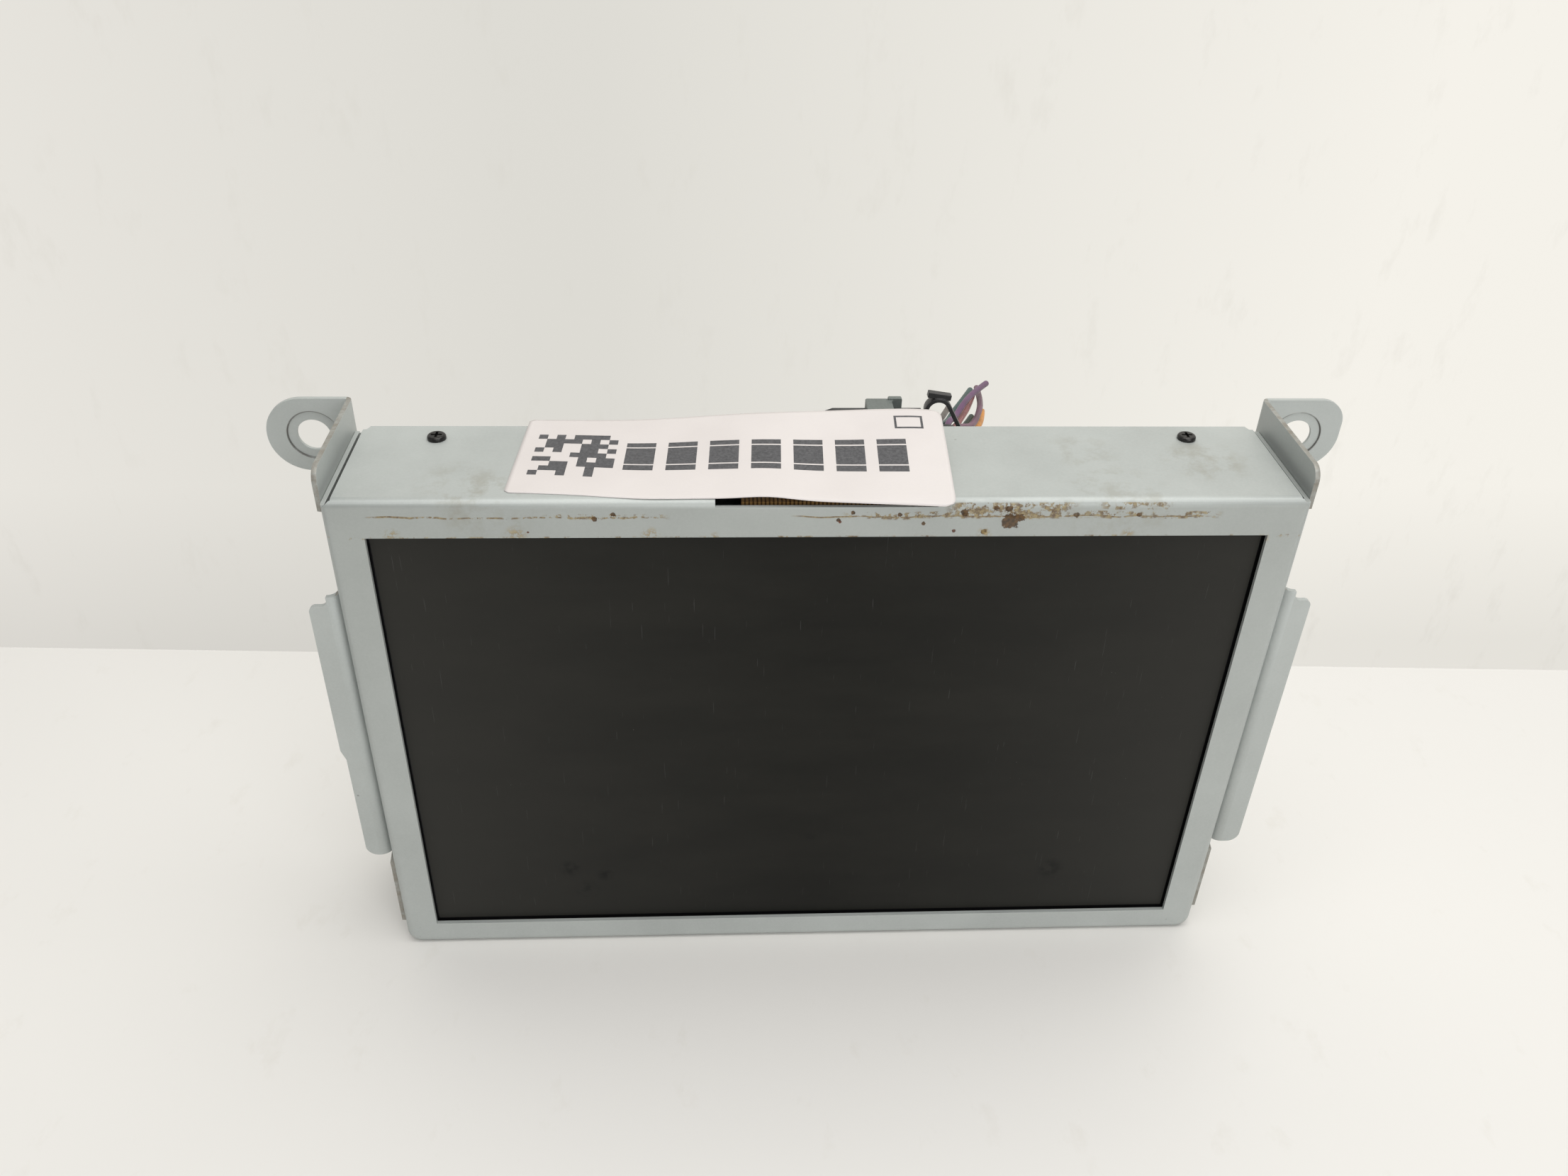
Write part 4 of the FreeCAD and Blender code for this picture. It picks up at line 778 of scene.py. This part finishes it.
def addGrid(mesh, columns, rows, where):
    # a sheet of four-sided faces; where gives the point at u and v, both from 0 to 1
    grid = []
    for j in range(rows + 1):
        grid.append([mesh.verts.new(where(i / columns, j / rows)) for i in range(columns + 1)])
    for j in range(rows):
        for i in range(columns):
            mesh.faces.new((grid[j][i], grid[j][i + 1], grid[j + 1][i + 1], grid[j + 1][i]))


def makeLabel():
    length, width = label["length"], label["width"]

    def where(u, v):
        across = v * width
        edge = min(across, width - across)
        insets = [0.0, 0.0]
        for end, radius in enumerate(label["rounding"]):
            if edge < radius:
                insets[end] = radius - math.sqrt(radius ** 2 - (radius - edge) ** 2)
        return labelPoint(insets[0] + u * (length - sum(insets)), across)

    mesh = bmesh.new()
    addGrid(mesh, label["columns"], label["rows"], where)
    data = meshData("label_paper", mesh)
    smoothAll(data)
    paper = newObject("label_paper", data, "case", finish["paper"])
    thick = paper.modifiers.new("thick", "SOLIDIFY")
    thick.thickness = label["thick"] * mm
    thick.offset = -1.0
    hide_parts("stock_label")


# Plain bars, blocks and a frame stand for the printing.
labelPrint = {
    "bars": 7,
    "barLeft": 21.8,
    "barStep": 8.55,
    "barWide": 6.0,
    "barRows": ((10.2, 12.1), (12.5, 18.6), (19.0, 20.6)),
    "blocks": 9,                   # to a side
    "blockSize": 1.85,
    "blockCorner": (3.2, 7.0),
    "blockSeed": 11,
    # from and to along the label, then across it
    "frame": (
        (77.2, 83.2, 24.0, 24.5), (77.2, 83.2, 27.6, 28.1),
        (77.2, 77.7, 24.0, 28.1), (82.7, 83.2, 24.0, 28.1),
    ),
    "cell": 0.8,                   # printed patches bend with the paper in steps this long
    "offPaper": 0.012,
}


def printedMarks():
    marks = []
    for index in range(labelPrint["bars"]):
        left = labelPrint["barLeft"] + labelPrint["barStep"] * index
        marks += [(left, left + labelPrint["barWide"], low, high) for low, high in labelPrint["barRows"]]
    draw = random.Random(labelPrint["blockSeed"])
    size = labelPrint["blockSize"]
    for row in range(labelPrint["blocks"]):
        for column in range(labelPrint["blocks"]):
            if draw.random() < 0.5:
                left = labelPrint["blockCorner"][0] + size * column
                low = labelPrint["blockCorner"][1] + size * row
                marks.append((left, left + size, low, low + size))
    return marks + list(labelPrint["frame"])


def makePrint():
    mesh = bmesh.new()
    for left, right, low, high in printedMarks():
        columns = max(1, int((right - left) / labelPrint["cell"]))
        rows = max(1, int((high - low) / labelPrint["cell"]))

        def where(u, v):
            return labelPoint(left + (right - left) * u, low + (high - low) * v, labelPrint["offPaper"])

        addGrid(mesh, columns, rows, where)
    newObject("label_print", meshData("label_print", mesh), "case", finish["ink"])


makeLabel()
makePrint()
print("label done")


# Floor, backdrop and light.
stageLook = {
    "table": (0.755, 0.741, 0.712),
    "tableShine": 0.55,            # its roughness
    "edgeDepth": 0.112,            # where the table ends behind the case
    "nearEdge": -2.2,
    "tableHalf": 2.0,
    "thick": 0.03,
    "turn": -2.2,                  # the table's edge isn't square to the case
    "wallAway": 1.25,              # how far the glowing wall stands behind
    "wallHeights": (-1.4, 3.0),
    "wallHalf": 3.0,
    # the wall's glow colours: painted light, lighter to the left and right, with painted shade in the middle
    "paintedLightLeft": (0.800, 0.775, 0.722),
    "paintedLightMiddle": (0.712, 0.696, 0.645),
    "paintedLightRight": (0.905, 0.878, 0.812),
    "foot": (-0.60, -0.86),        # heights between which painted shade darkens the wall downwards
    "footShade": 0.14,
    "paintedGlow": 0.97,
    "scuff": (0.60, 0.57, 0.50),
}


def makeSheet(name, profile, halfWidth):
    # a wide sheet that keeps one outline of y and z
    mesh = bmesh.new()
    rows = [[mesh.verts.new((x, y, z)) for y, z in profile] for x in (-halfWidth, halfWidth)]
    for index in range(len(profile) - 1):
        mesh.faces.new((rows[0][index], rows[0][index + 1], rows[1][index + 1], rows[1][index]))
    sheet = bpy.data.objects.new(name, meshData(name, mesh))
    scene.collection.objects.link(sheet)
    return sheet


def makeTable():
    edge = front + stageLook["edgeDepth"]
    profile = [(stageLook["nearEdge"], 0.0), (edge, 0.0), (edge, -stageLook["thick"])]
    table = makeSheet("table", profile, stageLook["tableHalf"])
    table.rotation_euler = (0, 0, math.radians(stageLook["turn"]))
    material, tree, bsdf = newMaterial("tablePaint")
    where = objectPlace(tree)
    streaks = noise(tree, stretched(tree, where, (16.0, 9.0, 5.0)), 6.0, 5.0, 0.65)
    scuffs = between(tree, streaks, 0.60, 0.75, 0.0, 0.22)
    feed(tree, bsdf.inputs["Base Color"], blended(tree, scuffs, stageLook["table"], stageLook["scuff"]))
    bsdf.inputs["Roughness"].default_value = stageLook["tableShine"]
    table.data.materials.append(material)


def makeWall():
    # a wall well behind the table that glows though it is no lamp: painted light, lighter to the sides and
    # darker in the middle as painted shade
    low, high = stageLook["wallHeights"]
    profile = [(stageLook["wallAway"], low), (stageLook["wallAway"], high)]
    wall = makeSheet("wall", profile, stageLook["wallHalf"])
    material, tree, bsdf = newMaterial("wallPaintedLight")
    where = objectPlace(tree)
    across = axisOf(tree, where, "X")
    # painted light and shade: the glow is lighter to the left and right than in the middle
    toLeft = between(tree, across, -0.25, -0.95)
    tone = blended(tree, toLeft, stageLook["paintedLightMiddle"], stageLook["paintedLightLeft"])
    tone = blended(tree, between(tree, across, -0.15, 0.80), tone, stageLook["paintedLightRight"])
    streaks = noise(tree, stretched(tree, where, (4.2, 1.0, 1.6)), 6.0, 5.0, 0.65)
    tone = blended(tree, between(tree, streaks, 0.58, 0.76, 0.0, 0.20), tone, stageLook["scuff"])
    # painted shade: the glow darkens towards the wall's foot
    shade = between(tree, axisOf(tree, where, "Z"), *stageLook["foot"], 0.0, stageLook["footShade"])
    tone = blended(tree, shade, tone, (0.0, 0.0, 0.0))
    bsdf.inputs["Base Color"].default_value = (0.05, 0.05, 0.05, 1.0)
    bsdf.inputs["Roughness"].default_value = 0.9
    # the wall glows with this painted light instead of being lit by the lamps
    feed(tree, bsdf.inputs["Emission Color"], tone)
    bsdf.inputs["Emission Strength"].default_value = stageLook["paintedGlow"]
    wall.data.materials.append(material)


# each soft light: where it stands, what it points at, its size, watts and tint
softLights = {
    "overhead": ((0.12, -0.10, 1.05), (0, 0.02, 0), (1.1, 0.8), 8.5, (1.0, 0.985, 0.955)),
    "frontFill": ((0.40, -1.05, 0.5), (0, 0, 0.06), (0.8, 0.8), 5.2, (1.0, 1.0, 1.0)),
}
sky = {
    "tint": (0.97, 0.98, 1.0, 1.0),
    "strength": 0.36,
}


def makeLights():
    world = bpy.data.worlds.new("studio")
    world.use_nodes = True
    background = world.node_tree.nodes["Background"]
    background.inputs["Color"].default_value = sky["tint"]
    background.inputs["Strength"].default_value = sky["strength"]
    scene.world = world
    for name, (location, target, size, watts, tint) in softLights.items():
        data = bpy.data.lights.new(name, "AREA")
        data.shape = "RECTANGLE"
        data.size, data.size_y = size
        data.energy = watts
        data.color = tint
        light = bpy.data.objects.new(name, data)
        light.location = location
        aim = Vector(target) - Vector(location)
        light.rotation_euler = aim.to_track_quat("-Z", "Y").to_euler()
        scene.collection.objects.link(light)


makeTable()
makeWall()
makeLights()
scene.view_settings.view_transform = "Standard"
print("stage and lights done")
